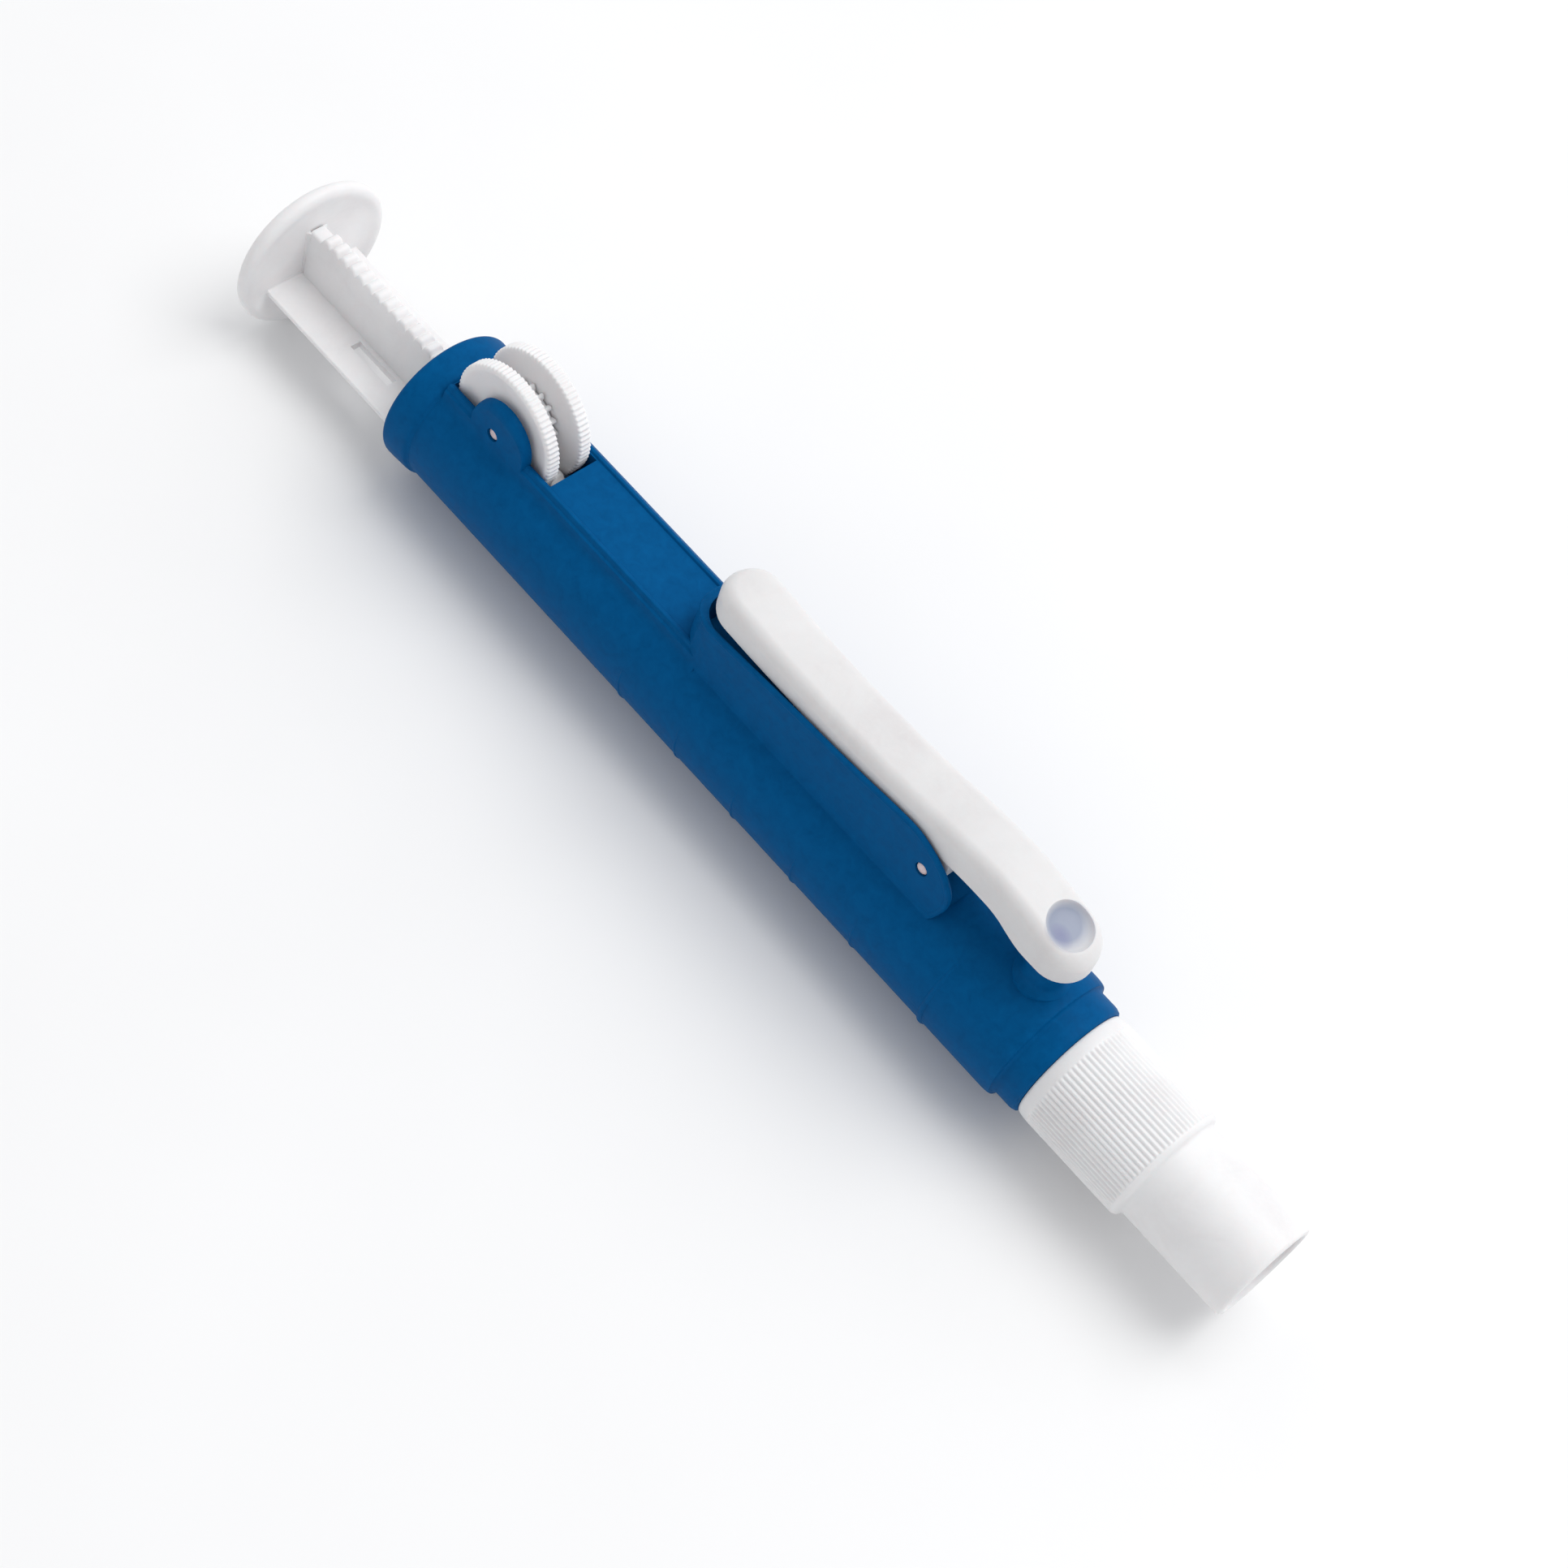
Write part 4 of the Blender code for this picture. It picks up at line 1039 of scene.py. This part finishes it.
def area_light(name, place, size, power, colour):
    """A square softbox aimed at the tool."""
    light = bpy.data.lights.new(name, "AREA")
    light.size = size
    light.energy = power
    light.color = colour
    lamp = bpy.data.objects.new(name, light)
    lamp.location = place
    aim = Vector((0, 0, 0.01)) - lamp.location
    lamp.rotation_euler = aim.to_track_quat("-Z", "Y").to_euler()
    bpy.context.scene.collection.objects.link(lamp)


def sky_lean(tree):
    """The room's brightness, from dim on the near side (-Y) to bright on the far side."""
    nodes = tree.nodes
    split = nodes.new("ShaderNodeSeparateXYZ")
    spread = nodes.new("ShaderNodeMapRange")
    tree.links.new(nodes.new("ShaderNodeTexCoord").outputs["Generated"], split.inputs["Vector"])
    tree.links.new(split.outputs["Y"], spread.inputs["Value"])
    for name, value in (("From Min", -1.0), ("From Max", 1.0), ("To Min", 0.50), ("To Max", 0.92)):
        spread.inputs[name].default_value = value
    return spread.outputs["Result"]


def studio():
    """A plain pale floor, a bright room and one large softbox."""
    floor_size, floor_height = 3.0, -0.0002
    mesh = bpy.data.meshes.new("floor")
    corners = [(x * floor_size, y * floor_size, floor_height)
               for x, y in ((-1, -1), (1, -1), (1, 1), (-1, 1))]
    mesh.from_pydata(corners, [], [(0, 1, 2, 3)])
    floor = bpy.data.objects.new("floor", mesh)
    bpy.context.scene.collection.objects.link(floor)
    surface = Surface("floor_paper")
    mottle = surface.noise(12.0, 3.0)
    colour = surface.ramp(mottle, [(0.3, (0.90, 0.90, 0.90)), (0.7, (0.93, 0.93, 0.93))])
    finish_surface(surface, colour, surface.spread(mottle, 0.8, 0.95),
                   surface.bump(mottle, 0.0001, 0.1))
    surface.shader.inputs["Specular IOR Level"].default_value = 0.1
    mesh.materials.append(surface.material)
    world = bpy.data.worlds.new("room")
    world.use_nodes = True
    world.node_tree.nodes["Background"].inputs["Color"].default_value = (0.97, 0.98, 1.0, 1.0)
    lean = sky_lean(world.node_tree)
    world.node_tree.links.new(lean, world.node_tree.nodes["Background"].inputs["Strength"])
    bpy.context.scene.world = world
    area_light("key", (0.18, 0.30, 0.86), 0.7, 4.4, (1.0, 0.99, 0.98))
    bpy.context.scene.view_settings.view_transform = "Standard"


camera()
studio()
barrel()
collar()
plunger()
knurled_flange("knurled_flange_near", -1, "wheel_flange_near")
knurled_flange("knurled_flange_far", 1, "wheel_flange_far")
pinion()
pin("axle_pin", AXLE, AXLE_HEIGHT, "wheel_axle")
pin("pivot_pin", PIVOT, PIVOT_HEIGHT, "lever_pin")
lever()
spring()
inside()
nose()
